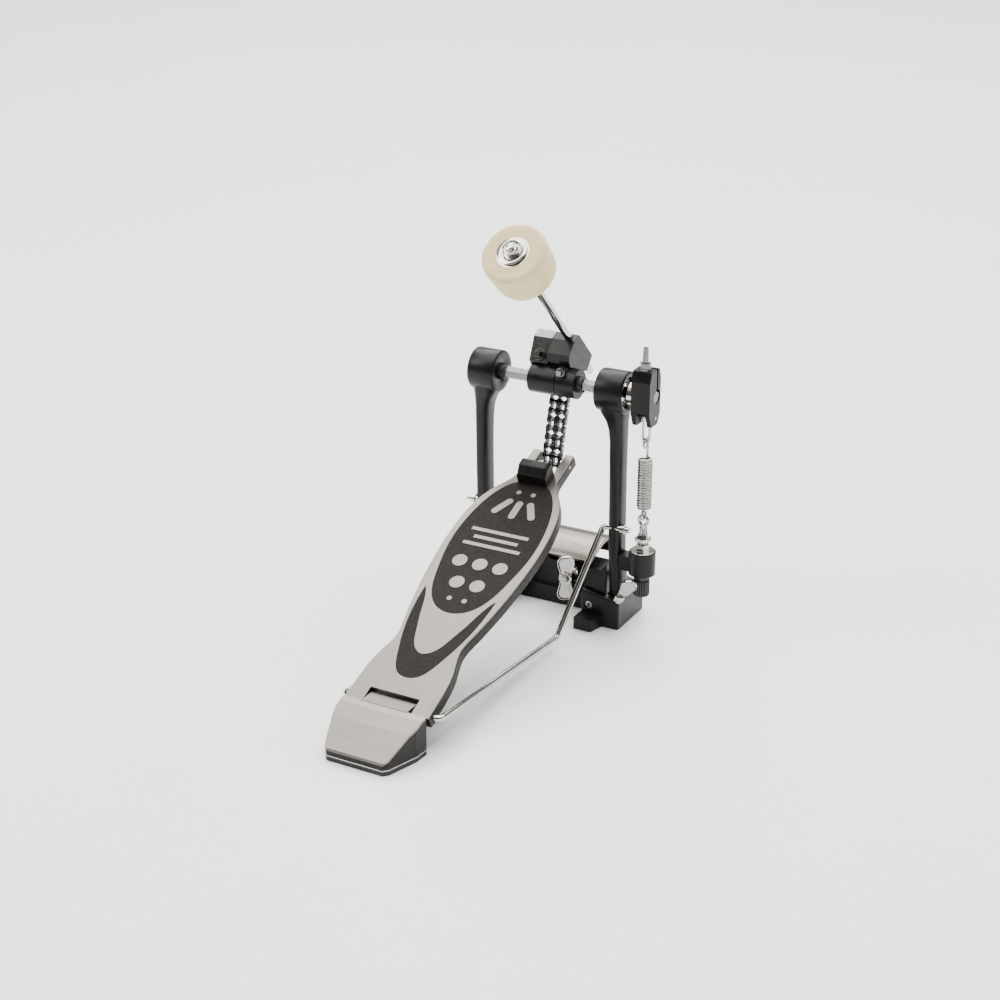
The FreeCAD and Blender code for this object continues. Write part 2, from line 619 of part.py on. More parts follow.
def chain():
    """Two-strand roller chain from the toe pin up to the cam's pin, drawn upright and then leaned."""
    toe_y, toe_z = toe_spot()
    lip_y, lip_z = lip_spot()
    links = int(size("chain_links"))
    lip_y += size("lip_play")
    pitch = math.hypot(lip_y - toe_y, lip_z - toe_z) / links
    outer, inner, rollers, pins = [], [], [], []
    strands = ("chain_x - 3.3", "chain_x + 3.3")
    for link in range(links):
        height = link * pitch
        if link % 2:
            last = link == links - 1
            for middle in ("chain_x - 6.65", "chain_x", "chain_x + 6.65"):
                low, high = middle + " - plate_thick / 2", middle + " + plate_thick / 2"
                plate = link_plate(low, high, height, pitch, "pin_r + 0.02")
                if last:
                    end = rod(2.9, "X", low, high, (0, height + pitch))
                    play = rod("cam_pin_r + lip_play + 0.14", "X", low + " - 1", high + " + 1",
                               (0, height + pitch))
                    plate = cut(fuse(plate, end), play)
                outer.append(plate)
            continue
        for strand in strands:
            for side in (-1, 1):
                face = "%s + %d * 2.1" % (strand, side)
                inner.append(link_plate(face + " - plate_thick / 2", face + " + plate_thick / 2", height,
                                        pitch,
                                        "roller_r"))
    for step in range(links):
        height = step * pitch
        hole = "pin_r + 0.02" if step else "pin_r + 0.06"
        for strand in strands:
            rollers.append(tube("roller_r", hole, "X", strand + " - 1.7", strand + " + 1.7", (0, height)))
        if step:
            pins.append(rod("pin_r", "X", "chain_x - 7.4", "chain_x + 7.4", (0, height)))
    lean = Rotation(Vector(1, 0, 0), -math.degrees(math.atan2(lip_y - toe_y, lip_z - toe_z)))
    for name, solids in (("chain_outer_plates", outer), ("chain_inner_plates", inner),
                         ("chain_rollers", rollers), ("chain_pins", pins)):
        sub_part(name, carried(group(*solids), (0, toe_y, toe_z), lean))


# ---------------------------------------------------------------- footboard
BOARD_EDGE = [(31.6, 0), (31.1, 20), (29.2, 38), (26.2, 49), (24.7, 58), (26.5, 70), (30.8, 92), (34.6, 122),
              (36.2, 156), (34.6, 178), (29.5, 197), (22.5, 209), (17.6, 217), (16.3, 224)]
EGG_EDGE = [(0, 85), (12, 89), (20, 98.5), (27, 120), (31, 143), (31.3, 162), (28.5, 182), (21, 203),
            (13, 212.5),
            (0, 216)]
CHEVRON_OUTER = [(27.3, 103.5), (26, 84), (21, 59), (16.8, 46), (12.5, 35), (7, 28), (0, 26)]
CHEVRON_INNER = [(0, 47.5), (5, 49.5), (9, 54), (13.5, 65), (18.5, 80), (23, 95), (27.3, 103.5)]


def both_sides(points):
    """A half outline, from the right end over to its mirror image on the left."""
    return points + [(-x, y) for x, y in reversed(points) if x]


def shrunk(points, gap):
    """The same outline drawn a little narrower."""
    return [(x - math.copysign(gap, x) if x else 0, y) for x, y in points]


def board_stretches(inset):
    """Footboard outline: curved flanks and a forked toe."""
    right = [(x - inset, y) for x, y in BOARD_EDGE]
    left = [(-x, y) for x, y in reversed(right)]
    long, half, gap, root = size("board_long") - inset, right[-1][0], 9.5 + inset, 226
    right_toe = [(half, 224), (half, long)], [(half, long), (gap, long)], [(gap, long), (gap, root)]
    across = [[(gap, root), (-gap, root)]]
    left_toe = [(-gap, root), (-gap, long)], [(-gap, long), (-half, long)], [(-half, long), (-half, 224)]
    heel = [[(-right[0][0], 0), (right[0][0], 0)]]
    return [right, *right_toe, *across, *left_toe, left, *heel]


def board_notch():
    """Room for the heel plate's tongue between the footboard's two hinge ears."""
    return block((-18.4, 18.4), (-8, 12.2), (-30, 8))


def footboard():
    """Cast board, hollow underneath, with two hinge ears at the heel and a fork at the toe."""
    board = curved_plate(board_stretches(0), "-board_thick", "-tread_thick - 0.05")
    hollow = common(curved_plate(board_stretches(5), "-board_thick - 1", "-board_thick + 4"),
                    block((-40, 40), (22, 212), (-12, 0)))
    ribs = [block((-36, 36), (place_l, "%d + 3" % place_l), ("-board_thick", "-board_thick + 5"))
            for place_l in (75, 115, 155)]
    spine = block((-1.5, 1.5), (22, 212), ("-board_thick", "-board_thick + 5"))
    ears = [common(rod("hinge_r", "X", low, high, ("hinge_l", "-hinge_drop")), block((-40, 40), (-1, 12),
            (-12, "-tread_thick - 0.05"))) for low, high in ((18.4, 31.4), (-31.4, -18.4))]
    hollow = cut(hollow, *ribs, spine)
    body = fuse(cut(board, hollow, board_notch()), *ears)
    body = cut(body, rod("rod_r + 0.05", "X", -40, 40, ("hinge_l", "-hinge_drop")),
               rod("pin_r + 0.06", "X", -30, 30, ("toe_pin_l", "-toe_pin_drop")))
    sub_part("footboard", body, "board")
    thick = "-tread_thick"
    screw_spots = [(x, 220) for x in (-6, 6)]
    tread = cut(curved_plate(board_stretches(0.35), thick, 0), board_notch(),
                *[rod(1.65, "Z", -4, 1, spot) for spot in screw_spots],
                curved_plate([both_sides(EGG_EDGE[::-1]) + [EGG_EDGE[-1]]], -4, 4),
                curved_plate([both_sides(CHEVRON_OUTER), both_sides(CHEVRON_INNER[::-1])[::-1]], -4, 4))
    sub_part("tread_plate", tread, "board")
    egg = curved_plate([both_sides(shrunk(EGG_EDGE[::-1], 0.12)) + [EGG_EDGE[-1]]], thick, -0.1)
    sub_part("tread_insert", egg, "board")
    chevron = curved_plate([both_sides(CHEVRON_OUTER), both_sides(CHEVRON_INNER[::-1])[::-1]], thick, -0.1)
    sub_part("chevron_insert", chevron, "board")
    sub_part("tread_marks", group(*tread_marks()), "board")
    toe_pin = rod("pin_r", "X", -16.4, 16.4, ("toe_pin_l", "-toe_pin_drop"))
    sub_part("toe_pin", toe_pin, "board")
    stop = rounded(prism("YZ", [(213.5, 0), (225.8, 0), (225.8, 13.5), (218.5, 13.5), (213.5, 8.5)], -11.5,
                         11.5),
                   2.5, lambda edge: edge.CenterOfMass.z > 8)
    stop = cut(stop, *[rod(1.65, "Z", -1, 3.1, spot) for spot in screw_spots])
    sub_part("toe_stop", stop, "board")
    sub_part("toe_stop_screws", group(*[rod(1.6, "Z", "-tread_thick", 3, spot) for spot in screw_spots]),
             "board")


def tread_marks():
    """Flat bright marks let into the insert: five round ones, three bars and plain stripes."""
    low, high = "-0.1", "0.15"
    marks = [rod(5.4, "Z", low, high, (x, 131.5)) for x in (-15.6, 0, 15.6)]
    marks += [rod(5.4, "Z", low, high, (x, 112.4)) for x in (-7.8, 7.8)]
    marks += [rod(1.9, "Z", low, high, (x, y)) for y in (97.5, 203.5) for x in (-5.7, 5.7)]
    for base_x, base_y, lean in ((-15.5, 180, 28), (0, 177.5, 0), (15.5, 180, -28)):
        bar = fuse(block((-2.6, 2.6), (2.6, 15.4), (low, high)), rod(2.6, "Z", low, high, (0, 2.6)),
                   rod(2.6, "Z", low, high, (0, 15.4)))
        marks.append(carried(bar, (base_x, base_y, 0), Rotation(Vector(0, 0, 1), -lean)))
    marks += [block((-half, half), (at, at + 3), (low, high)) for half, at
              in ((22, 147), (17, 154), (22, 161))]
    return marks


# ---------------------------------------------------------------- heel plate
def heel():
    """Heel plate hinged on the radius rod's cross part: black body, brushed cover, bright strip and
    rubber sole."""
    hinge_y, hinge_z = hinge_spot()
    front, back, sole, strip = hinge_y - 8.3, -262, 3.3, 4.0
    outline = [(-30.8, front), (30.8, front), (30.2, front - 11), (23.5, back + 3), (20.5, back),
               (-20.5, back),
               (-23.5, back + 3), (-30.2, front - 11)]
    top = [(front, hinge_z + 2.6), (front - 5, hinge_z + 1.5), (front - 17, hinge_z - 3), (back, 7.2)]
    side = prism("YZ", top + [(back, strip), (front, strip)], -40, 40)
    tongue = rod(3.15, "X", -17.4, 17.4, (hinge_y, hinge_z))
    bridge = block((-17.4, 17.4), (front - 0.5, hinge_y), (hinge_z - 4, hinge_z + 2.3))
    body = fuse(common(prism("XY", outline, 0, 40), side), tongue, bridge)
    body = cut(body, rod("rod_r + 0.05", "X", -40, 40, (hinge_y, hinge_z)))
    sub_part("heel_plate", body, "floor")
    skin = [(front, hinge_z + 4.2), (front - 5, hinge_z + 3.1), (front - 17, hinge_z - 1.4),
            (back + 0.5, 8.8)]
    cover = common(prism("XY", outline, 0, 40), prism("YZ", skin + top[::-1], -40, 40))
    lip = block((-17, 17), (front - 0.5, hinge_y + 3.4), (hinge_z + 3.25, hinge_z + 4.4))
    sub_part("heel_cover", fuse(cover, lip), "floor")
    edge = [(x * 1.006, y - 0.2 if y < back + 1 else y) for x, y in outline]
    sub_part("heel_strip", prism("XY", edge, sole, strip), "floor")
    sub_part("heel_sole", prism("XY", outline, 0, sole), "floor")


# ---------------------------------------------------------------- return spring
def lower_hook_z():
    """Middle of the spring's lower loop, which hangs from the eyebolt's ring."""
    return size("eye_z") + size("eye_r") - size("eye_wire") + size("hook_r") - size("wire_r") - 0.3


def upper_hook_z():
    """Middle of the spring's upper loop, which holds the stirrup's lowest wire."""
    return size("link_low") + size("link_wire") + size("wire_r") + 0.3 - size("hook_r")


def hook(end, middle_z, coil_z):
    """Hooked end of the spring: a straight neck at the loop's edge, then most of a turn about its middle."""
    x, y, loop = size("spring_x"), size("spring_y"), size("hook_r")

    def spot(degrees):
        angle = math.radians(degrees)
        return Vector(x, y + loop * math.cos(angle), middle_z + end * loop * math.sin(angle))
    neck = Part.LineSegment(Vector(x, y + loop, coil_z), spot(0)).toShape()
    arcs = [Part.Arc(spot(at), spot(at + 75), spot(at + 150)).toShape() for at in (0, 150)]
    path = Part.Wire([neck] + arcs)
    profile = Part.Wire([Part.makeCircle(size("wire_r"), Vector(x, y + loop, coil_z), Vector(0, 0, end))])
    result = doc.addObject("Part::Feature", "Hook")
    result.Shape = path.makePipeShell([profile], True, True)
    return result


def spring_side():
    """Stirrup link, coil with its two hooks, eyebolt, nuts, lug and tension knob."""
    x, y = "spring_x", "spring_y"
    pin_z = "axle_z + rocker_pin_z"
    legs = [rod("link_wire", "Z", "link_low + 2.4", pin_z + " - 2.6", ("spring_x + %s" % shift, y))
            for shift in (-2.4, 2.4)]
    eyes = [tube(3.5, 1.7, "X", "spring_x + %s" % (shift - 1), "spring_x + %s" % (shift + 1), (y, pin_z))
            for shift in (-2.4, 2.4)]
    bottom = common(ring(2.4, "link_wire", "Y", (x, y, "link_low + 2.4")),
                    block(("spring_x - 5", "spring_x + 5"), (-9, 9), ("link_low - 3", "link_low + 2.4")))
    sub_part("stirrup_link", fuse(*legs, *eyes, bottom), "floor")
    sub_part("spring_lower_hook", hook(-1, lower_hook_z(), size("coil_low") + 1), "floor")
    sub_part("spring_upper_hook", hook(1, upper_hook_z(), size("coil_high") - 1), "floor")
    coil = cut(rod("coil_r + wire_r", "Z", "coil_low + 1.1", "coil_high - 1.1", (x, y)),
               rod("coil_r - wire_r", "Z", "coil_low - 1", "coil_high + 1", (x, y)))
    sub_part("spring_coil", coil, "floor")
    eyebolt = fuse(ring("eye_r", "eye_wire", "Y", (x, y, "eye_z")),
                   rod(2.9, "Z", 31, "eye_z - eye_r - 0.4", (x, y)))
    sub_part("eyebolt", eyebolt, "floor")
    nuts = [hexagon(8.4, "Z", "lug_high + 1", 67.5, (x, y)), rod(5.8, "Z", 70.6, 72, (x, y)),
            cone(4.6, 3.4, "Z", 72, 75.5, (x, y))]
    bore = rod(2.95, "Z", 20, 80, (x, y))
    washer = tube(8.6, 3.05, "Z", "lug_high", "lug_high + 1", (x, y))
    sub_part("eyebolt_nuts", group(cut(nuts[0], bore), cut(fuse(nuts[1], nuts[2]), bore), washer), "floor")
    lug = fuse(rod("lug_r", "Z", "lug_low", "lug_high", (x, y)),
               block(("post_x + post_width / 2", x), (-6.5, 4.5), (47, 58)))
    sub_part("spring_lug", cut(lug, rod(3.05, "Z", 20, 80, (x, y))), "floor")
    grips = [rod(0.7, "Z", 28.5, 43.5, ("spring_x + %.4f" % (5.2 * math.cos(math.tau * step / 16)),
             "spring_y + %.4f" % (5.2 * math.sin(math.tau * step / 16)))) for step in range(16)]
    knob = cut(fuse(rod(5.5, "Z", 28, 44.6, (x, y)), *grips), rod(2.98, "Z", 26.5, 46, (x, y)))
    sub_part("tension_knob", knob, "floor")


# ---------------------------------------------------------------- hoop clamp
def hoop_clamp():
    """Curved jaw on a cross pin; the wing nut draws its tail forwards and presses the jaw down on the
    hoop."""
    pin_y, pin_z = "jaw_pin_y", "jaw_pin_z - 4.5"
    outer = [(12.5, 38.5), (20, 43.5), (30, 47), (41, 48), (50, 45.5), (57, 39.5), (60.5, 31)]
    inner = [(58.2, 30.2), (54.6, 37.8), (48.8, 43), (40.8, 45.4), (30.5, 44.4), (21, 41), (13.6, 36.6)]
    arch = curved_plate([outer, [outer[-1], inner[0]], inner, [inner[-1], outer[0]]], -28, 28)
    plate = carried(arch, (0, 0, 0), Rotation(Vector(1, 1, 1), 120))
    ear = prism("YZ", [(20, 41.5), (32, 45), (29.5, 33), (27.5, 28.3), (20.5, 28.3), (19, 33)], -9, 9)
    tail = prism("YZ", [(24, 43), (34, 44.5), (34, 21), (28.5, 21), (28.5, 36)], "wing_x - 5.5",
                 "wing_x + 5.5")
    jaw = cut(fuse(plate, ear, tail), rod(2.06, "X", -12, 12, (pin_y, pin_z)),
              block(("wing_x - 3.6", "wing_x + 3.6"), (27, 36), (19, 31)))
    sub_part("hoop_jaw", jaw, "floor")
    sub_part("jaw_pin", rod(2.0, "X", -22, 22, (pin_y, pin_z)), "floor")
    pad_side = prism("YZ", [(60.3, 30.6), (58.2, 29.8), (58.9, 27.8), (61, 28.6)], -24, 24)
    sub_part("jaw_rubber", pad_side, "floor")
    sub_part("lip_rubber", block((-25, 25), (44, "lip_back - 1"), (13, 15)), "floor")
    bolt = fuse(rod(2.9, "Y", -1, 35, ("wing_x", "wing_z")), rod(5.2, "Y", 34.8, 37.4, ("wing_x", "wing_z")))
    sub_part("draw_bolt", bolt, "floor")
    hub = fuse(rod(5.6, "Y", 1.5, 9, ("wing_x", "wing_z")),
               cone(5.6, 7.4, "Y", 9, 13.6, ("wing_x", "wing_z")))
    blades = []
    for end in (1, -1):
        blade = common(block((-1.5, 1.5), (-7, 7), (3.2, 18)),
                       fuse(rod(6.6, "X", -3, 3, (0, 11.4)), rod(4.6, "X", -3, 3, (0, 4.5)),
                            block((-3, 3), (-4.9, 4.9), (4, 11.5))))
        twist = Rotation(Vector(0, 0, 1), end * 29)
        over = Rotation(Vector(0, 1, 0), 0 if end > 0 else 180)
        blades.append(carried(blade, ("wing_x", 3.2, "wing_z"), twist * over))
    wing = cut(fuse(hub, *blades), rod(2.95, "Y", -20, 20, ("wing_x", "wing_z")))
    sub_part("wing_nut", wing, "floor")


def check_and_write():
    """Stop on any failed object, then write one STEP file per sub-part."""
    doc.recompute()
    for item in doc.Objects:
        if "Invalid" in item.State or "Error" in item.State:
            raise RuntimeError("%s (%s) failed: %s" % (item.Name, item.Label, item.State))
    for solid in SUB_PARTS:
        shape = solid.Shape
        if shape.isNull() or not shape.isValid() or not shape.Solids:
            raise RuntimeError("%s has no valid shape" % solid.Label)
        shape.exportStep("parts/%s.step" % solid.Label)


base_casting()
base_pads()
posts()
post_bolts()
side_plates()
lug_screws()
spur(1)
spur(-1)
radius_rods()
bearings()
axle()
beater_holder()
shaft_clamp()
cam()
rocker()
beater()
chain()
footboard()
heel()
spring_side()
hoop_clamp()
check_and_write()
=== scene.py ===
"""Looks of the bass drum pedal: studio, node materials and finely shaped pieces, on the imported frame."""
import json
import math
import random
import bmesh
import bpy
from mathutils import Matrix, Vector, noise


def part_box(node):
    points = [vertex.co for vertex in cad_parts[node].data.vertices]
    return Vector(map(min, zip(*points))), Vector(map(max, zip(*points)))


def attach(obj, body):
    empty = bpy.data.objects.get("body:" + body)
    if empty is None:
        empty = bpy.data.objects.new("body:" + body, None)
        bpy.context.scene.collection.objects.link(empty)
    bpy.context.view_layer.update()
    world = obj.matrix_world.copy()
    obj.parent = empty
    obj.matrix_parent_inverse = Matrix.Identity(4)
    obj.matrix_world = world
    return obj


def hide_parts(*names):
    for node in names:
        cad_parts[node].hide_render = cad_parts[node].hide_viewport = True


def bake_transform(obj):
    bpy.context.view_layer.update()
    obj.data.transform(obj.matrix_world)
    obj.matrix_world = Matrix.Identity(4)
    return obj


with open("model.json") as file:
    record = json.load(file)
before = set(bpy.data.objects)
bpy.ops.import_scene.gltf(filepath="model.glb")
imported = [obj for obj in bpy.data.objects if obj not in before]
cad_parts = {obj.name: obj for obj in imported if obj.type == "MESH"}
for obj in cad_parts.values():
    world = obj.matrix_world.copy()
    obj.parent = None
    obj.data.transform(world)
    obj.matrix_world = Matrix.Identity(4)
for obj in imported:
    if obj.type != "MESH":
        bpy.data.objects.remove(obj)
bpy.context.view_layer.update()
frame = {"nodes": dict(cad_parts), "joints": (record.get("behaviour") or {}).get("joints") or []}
MM = 0.001
JOINTS = {joint["name"]: joint for joint in frame["joints"]}

# Sockets of a colour mix node, by number because their names repeat.
MIX_SHARE, MIX_UNDER, MIX_OVER, MIX_RESULT = 0, 6, 7, 2
EDGE_SAMPLES = 6


# ---------------------------------------------------------------- node materials
def new_material(name, colour, roughness, metallic=0.0, **sockets):
    """A Principled material; every other socket is given by its name with spaces as underscores."""
    material = bpy.data.materials.new(name)
    material.use_nodes = True
    shader = material.node_tree.nodes["Principled BSDF"]
    shader.inputs["Base Color"].default_value = (*colour, 1)
    shader.inputs["Roughness"].default_value = roughness
    shader.inputs["Metallic"].default_value = metallic
    for socket, value in sockets.items():
        shader.inputs[socket.replace("_", " ")].default_value = value
    material.diffuse_color = (*colour, 1)
    return material


def add(material, kind, **settings):
    """A new node with its settings; a setting that is not a property is an input's value."""
    node = material.node_tree.nodes.new("ShaderNode" + kind)
    for name, value in settings.items():
        if hasattr(node, name):
            setattr(node, name, value)
        else:
            node.inputs[name.replace("_", " ")].default_value = value
    return node


def link(material, source, target):
    """Join an output to an input."""
    material.node_tree.links.new(source, target)


def grain(material, scale, stretch=(1, 1, 1), detail=4.0):
    """Noise in the object's own metres, stretched where the surface is brushed or drawn."""
    coords = add(material, "TexCoord")
    mapping = add(material, "Mapping")
    mapping.inputs["Scale"].default_value = stretch
    pattern = add(material, "TexNoise", Scale=scale, Detail=detail, Roughness=0.6)
    link(material, coords.outputs["Object"], mapping.inputs["Vector"])
    link(material, mapping.outputs["Vector"], pattern.inputs["Vector"])
    return pattern.outputs["Fac"]


def spread(material, source, low, high, source_low=0.3, source_high=0.7):
    """Map a pattern to a range of values."""
    ramp = add(material, "MapRange", From_Min=source_low, From_Max=source_high, To_Min=low, To_Max=high)
    link(material, source, ramp.inputs["Value"])
    return ramp.outputs["Result"]


def vary_roughness(material, source, low, high):
    """Let the roughness follow a pattern between two values."""
    shader = material.node_tree.nodes["Principled BSDF"]
    link(material, spread(material, source, low, high), shader.inputs["Roughness"])


def vary_colour(material, source, dark, light, source_low=0.3, source_high=0.7):
    """Drift between two tones where the pattern goes from low to high; returns the mixed colour."""
    mix = add(material, "Mix", data_type="RGBA")
    mix.inputs[MIX_UNDER].default_value = (*dark, 1)
    mix.inputs[MIX_OVER].default_value = (*light, 1)
    link(material, spread(material, source, 0, 1, source_low, source_high), mix.inputs[MIX_SHARE])
    link(material, mix.outputs[MIX_RESULT], material.node_tree.nodes["Principled BSDF"].inputs["Base Color"])
    return mix


def relief(material, patterns, edge=0.35):
    """Soft machined edges, then one bump for each (pattern, height in millimetres)."""
    shader = material.node_tree.nodes["Principled BSDF"]
    normal = None
    if edge:
        normal = add(material, "Bevel", samples=EDGE_SAMPLES, Radius=edge * MM).outputs["Normal"]
    for pattern, height in patterns:
        bump = add(material, "Bump", Strength=1.0, Distance=height * MM)
        link(material, pattern, bump.inputs["Height"])
        if normal:
            link(material, normal, bump.inputs["Normal"])
        normal = bump.outputs["Normal"]
    link(material, normal, shader.inputs["Normal"])


def painted_edge_highlight(material, mix, edge_highlight_colour, width=0.5, amount=0.55):
    """Painted edge highlight: lighter colour along outer edges, broken up by noise, laid over the material's
    mixed colour.
    """
    bevel = add(material, "Bevel", samples=EDGE_SAMPLES, Radius=width * MM)
    geometry = add(material, "NewGeometry")
    facing = add(material, "VectorMath", operation="DOT_PRODUCT")
    link(material, bevel.outputs["Normal"], facing.inputs[0])
    link(material, geometry.outputs["Normal"], facing.inputs[1])
    # painted highlight: share of lighter colour where the bevelled normal turns away from the face's normal
    edge_highlight_share = spread(material, facing.outputs["Value"], amount, 0, 0.80, 0.985)
    broken = add(material, "Math", operation="MULTIPLY")
    link(material, edge_highlight_share, broken.inputs[0])
    link(material, spread(material, grain(material, 420, detail=6), 0, 1, 0.42, 0.62), broken.inputs[1])
    over = add(material, "Mix", data_type="RGBA")
    over.inputs[MIX_OVER].default_value = (*edge_highlight_colour, 1)
    link(material, broken.outputs[0], over.inputs[MIX_SHARE])
    link(material, mix.outputs[MIX_RESULT], over.inputs[MIX_UNDER])
    link(material, over.outputs[MIX_RESULT], material.node_tree.nodes["Principled BSDF"].inputs["Base Color"])


def black_casting():
    """Semi-gloss black powder coat on die-cast metal."""
    made = new_material("black_casting", (0.007, 0.0063, 0.0058), 0.32, Specular_IOR_Level=0.22)
    mix = vary_colour(made, grain(made, 60), (0.0036, 0.0032, 0.0029), (0.0075, 0.0066, 0.0059))
    # painted highlight along the casting's edges
    painted_edge_highlight(made, mix, (0.045, 0.040, 0.036))
    vary_roughness(made, grain(made, 240, detail=6), 0.27, 0.42)
    relief(made, [(grain(made, 1300, detail=3), 0.035), (grain(made, 90), 0.06)], edge=0.7)
    return made


def board_black():
    """Satin black paint on the cast footboard and heel."""
    made = new_material("board_black", (0.009, 0.008, 0.0072), 0.42, Specular_IOR_Level=0.20)
    mix = vary_colour(made, grain(made, 75), (0.0065, 0.0058, 0.0052), (0.013, 0.0115, 0.0102))
    # painted highlight along the board's edges
    painted_edge_highlight(made, mix, (0.06, 0.054, 0.048), width=0.4, amount=0.4)
    vary_roughness(made, grain(made, 300, detail=6), 0.36, 0.52)
    relief(made, [(grain(made, 1600, detail=3), 0.04)], edge=0.6)
    return made


def brushed(name, stretch, dark, light):
    """Satin-brushed light metal whose fine scratches run one way."""
    made = new_material(name, light, 0.36, metallic=1.0)
    fine = grain(made, 1.0, stretch=tuple(3400 if axis else 60 for axis in stretch), detail=6)
    broad = grain(made, 1.0, stretch=tuple(700 if axis else 26 for axis in stretch), detail=3)
    vary_colour(made, broad, dark, light, 0.25, 0.75)
    vary_roughness(made, fine, 0.33, 0.46)
    relief(made, [(fine, 0.014), (grain(made, 45), 0.04)], edge=0.25)
    return made


def inlay():
    """Near-black matte grip inlay with a fine sanded grain."""
    made = new_material("grip_inlay", (0.009, 0.0072, 0.006), 0.62, Specular_IOR_Level=0.14)
    vary_colour(made, grain(made, 1400, detail=5), (0.0065, 0.0052, 0.0044), (0.0145, 0.0118, 0.0098))
    vary_roughness(made, grain(made, 500), 0.52, 0.74)
    relief(made, [(grain(made, 2200, detail=2), 0.03)], edge=0.15)
    return made


def chrome():
    """Polished plate with faint haze and hairline marks."""
    made = new_material("chrome", (0.80, 0.79, 0.77), 0.09, metallic=1.0)
    vary_colour(made, grain(made, 120), (0.50, 0.485, 0.462), (0.60, 0.585, 0.565))
    vary_roughness(made, grain(made, 600, stretch=(1, 1, 0.2), detail=6), 0.04, 0.15)
    relief(made, [(grain(made, 160), 0.05)], edge=0.3)
    return made


def steel(name, dark, light, smooth, rough, edge=0.3, drawn=(1, 1, 1)):
    """Plated or bare steel with mottled tone and fine machining."""
    made = new_material(name, light, rough, metallic=1.0)
    vary_colour(made, grain(made, 260, detail=5), dark, light)
    vary_roughness(made, grain(made, 700, stretch=drawn, detail=6), smooth, rough)
    relief(made, [(grain(made, 1500, stretch=drawn, detail=3), 0.02)], edge=edge)
    return made


def moulded(name, dark, light, rough, pebble, bump):
    """Moulded plastic or rubber with a pebbled skin."""
    made = new_material(name, light, rough)
    vary_colour(made, grain(made, 180), dark, light)
    vary_roughness(made, grain(made, 450), rough - 0.08, rough + 0.1)
    relief(made, [(grain(made, pebble, detail=2), bump)], edge=0.4)
    return made


def felt():
    """Pressed cream wool felt: soft sheen, matted fibres and small yellowish clouds."""
    made = new_material("wool_felt", (0.80, 0.73, 0.56), 0.95, Sheen_Weight=0.2, Sheen_Roughness=0.6,
                        Subsurface_Weight=0.12, Subsurface_Scale=0.002)
    made.node_tree.nodes["Principled BSDF"].inputs["Sheen Tint"].default_value = (1.0, 0.96, 0.86, 1)
    fibres = grain(made, 1500, stretch=(1, 1, 0.35), detail=8)
    clouds = vary_colour(made, grain(made, 70, detail=5), (0.74, 0.60, 0.31), (0.84, 0.715, 0.42))
    specks = add(made, "Mix", data_type="RGBA", blend_type="MULTIPLY")
    specks.inputs[MIX_OVER].default_value = (0.86, 0.82, 0.74, 1)
    link(made, spread(made, fibres, 0.8, 0, 0.35, 0.55), specks.inputs[MIX_SHARE])
    link(made, clouds.outputs[MIX_RESULT], specks.inputs[MIX_UNDER])
    link(made, specks.outputs[MIX_RESULT], made.node_tree.nodes["Principled BSDF"].inputs["Base Color"])
    relief(made, [(fibres, 0.22), (grain(made, 320, detail=4), 0.3)], edge=0)
    return made


MATERIALS = {
    "casting": black_casting(),
    "board": board_black(),
    "tread": brushed("brushed_tread", (1, 0, 0), (0.165, 0.154, 0.139), (0.205, 0.192, 0.174)),
    "heel": brushed("brushed_heel", (0, 1, 0), (0.175, 0.163, 0.147), (0.22, 0.206, 0.187)),
    "inlay": inlay(),
    "chrome": chrome(),
    "zinc": steel("zinc_steel", (0.34, 0.33, 0.315), (0.50, 0.49, 0.47), 0.2, 0.36),
    "satin": steel("satin_axle_steel", (0.13, 0.128, 0.125), (0.20, 0.197, 0.192), 0.14, 0.25),
    "bright": steel("nickel_steel", (0.36, 0.35, 0.335), (0.50, 0.487, 0.467), 0.10, 0.24, edge=0.2),
    "spring": steel("spring_wire", (0.33, 0.32, 0.305), (0.48, 0.47, 0.45), 0.12, 0.28, edge=0),
    "black_steel": steel("black_chain_plate", (0.018, 0.017, 0.018), (0.055, 0.052, 0.052), 0.22, 0.38,
                         edge=0.2),
    "smoked": steel("smoked_plate", (0.15, 0.132, 0.115), (0.19, 0.168, 0.147), 0.22, 0.28, edge=0.5),
    "plastic": moulded("knob_plastic", (0.011, 0.011, 0.011), (0.021, 0.020, 0.020), 0.46, 1500, 0.05),
    "dark_steel": steel("dark_roller", (0.10, 0.097, 0.095), (0.22, 0.215, 0.21), 0.18, 0.30, edge=0.2),
    "rubber": moulded("moulded_rubber", (0.015, 0.015, 0.015), (0.030, 0.029, 0.028), 0.72, 900, 0.10),
    "felt": felt(),
}
FINISHES = {
    "casting": ["base_casting", "right_post", "left_post", "side_plates", "beater_holder", "cam", "rocker",
                "spring_lug", "toe_stop"],
    "board": ["footboard", "heel_plate"],
    "tread": ["tread_plate", "tread_marks"],
    "heel": ["heel_cover"],
    "inlay": ["tread_insert", "chevron_insert"],
    "chrome": ["axle_rings", "radius_rod", "rocker_pin", "rod_end_nuts", "eyebolt_nuts"],
    "satin": ["axle_shaft", "shaft_clamp_plate", "clamp_key_screw", "axle_key_screws"],
    "zinc": ["post_bolts", "lug_screws", "outer_races", "inner_races", "retaining_rings", "cam_pin",
             "toe_pin", "toe_stop_screws", "jaw_pin", "heel_strip"],
    "bright": ["bearing_balls", "chain_pins", "stirrup_link"],
    "dark_steel": ["chain_rollers"],
    "spring": ["spring_lower_hook", "spring_upper_hook"],
    "black_steel": ["chain_outer_plates", "chain_inner_plates"],
    "smoked": ["hoop_jaw"],
    "plastic": ["axle_spacers"],
    "rubber": ["base_pads", "heel_sole", "jaw_rubber", "lip_rubber"],
}
for finish, nodes in FINISHES.items():
    for node in nodes:
        mesh = frame["nodes"][node].data
        mesh.materials.clear()
        mesh.materials.append(MATERIALS[finish])


# ---------------------------------------------------------------- mesh tools
def middle(node):
    """Middle of a node's box, in metres."""
    low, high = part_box(node)
    return (low + high) / 2


def placed(name, data):
    """Add an object of the data to the scene."""
    thing = bpy.data.objects.new(name, data)
    bpy.context.scene.collection.objects.link(thing)
    return thing


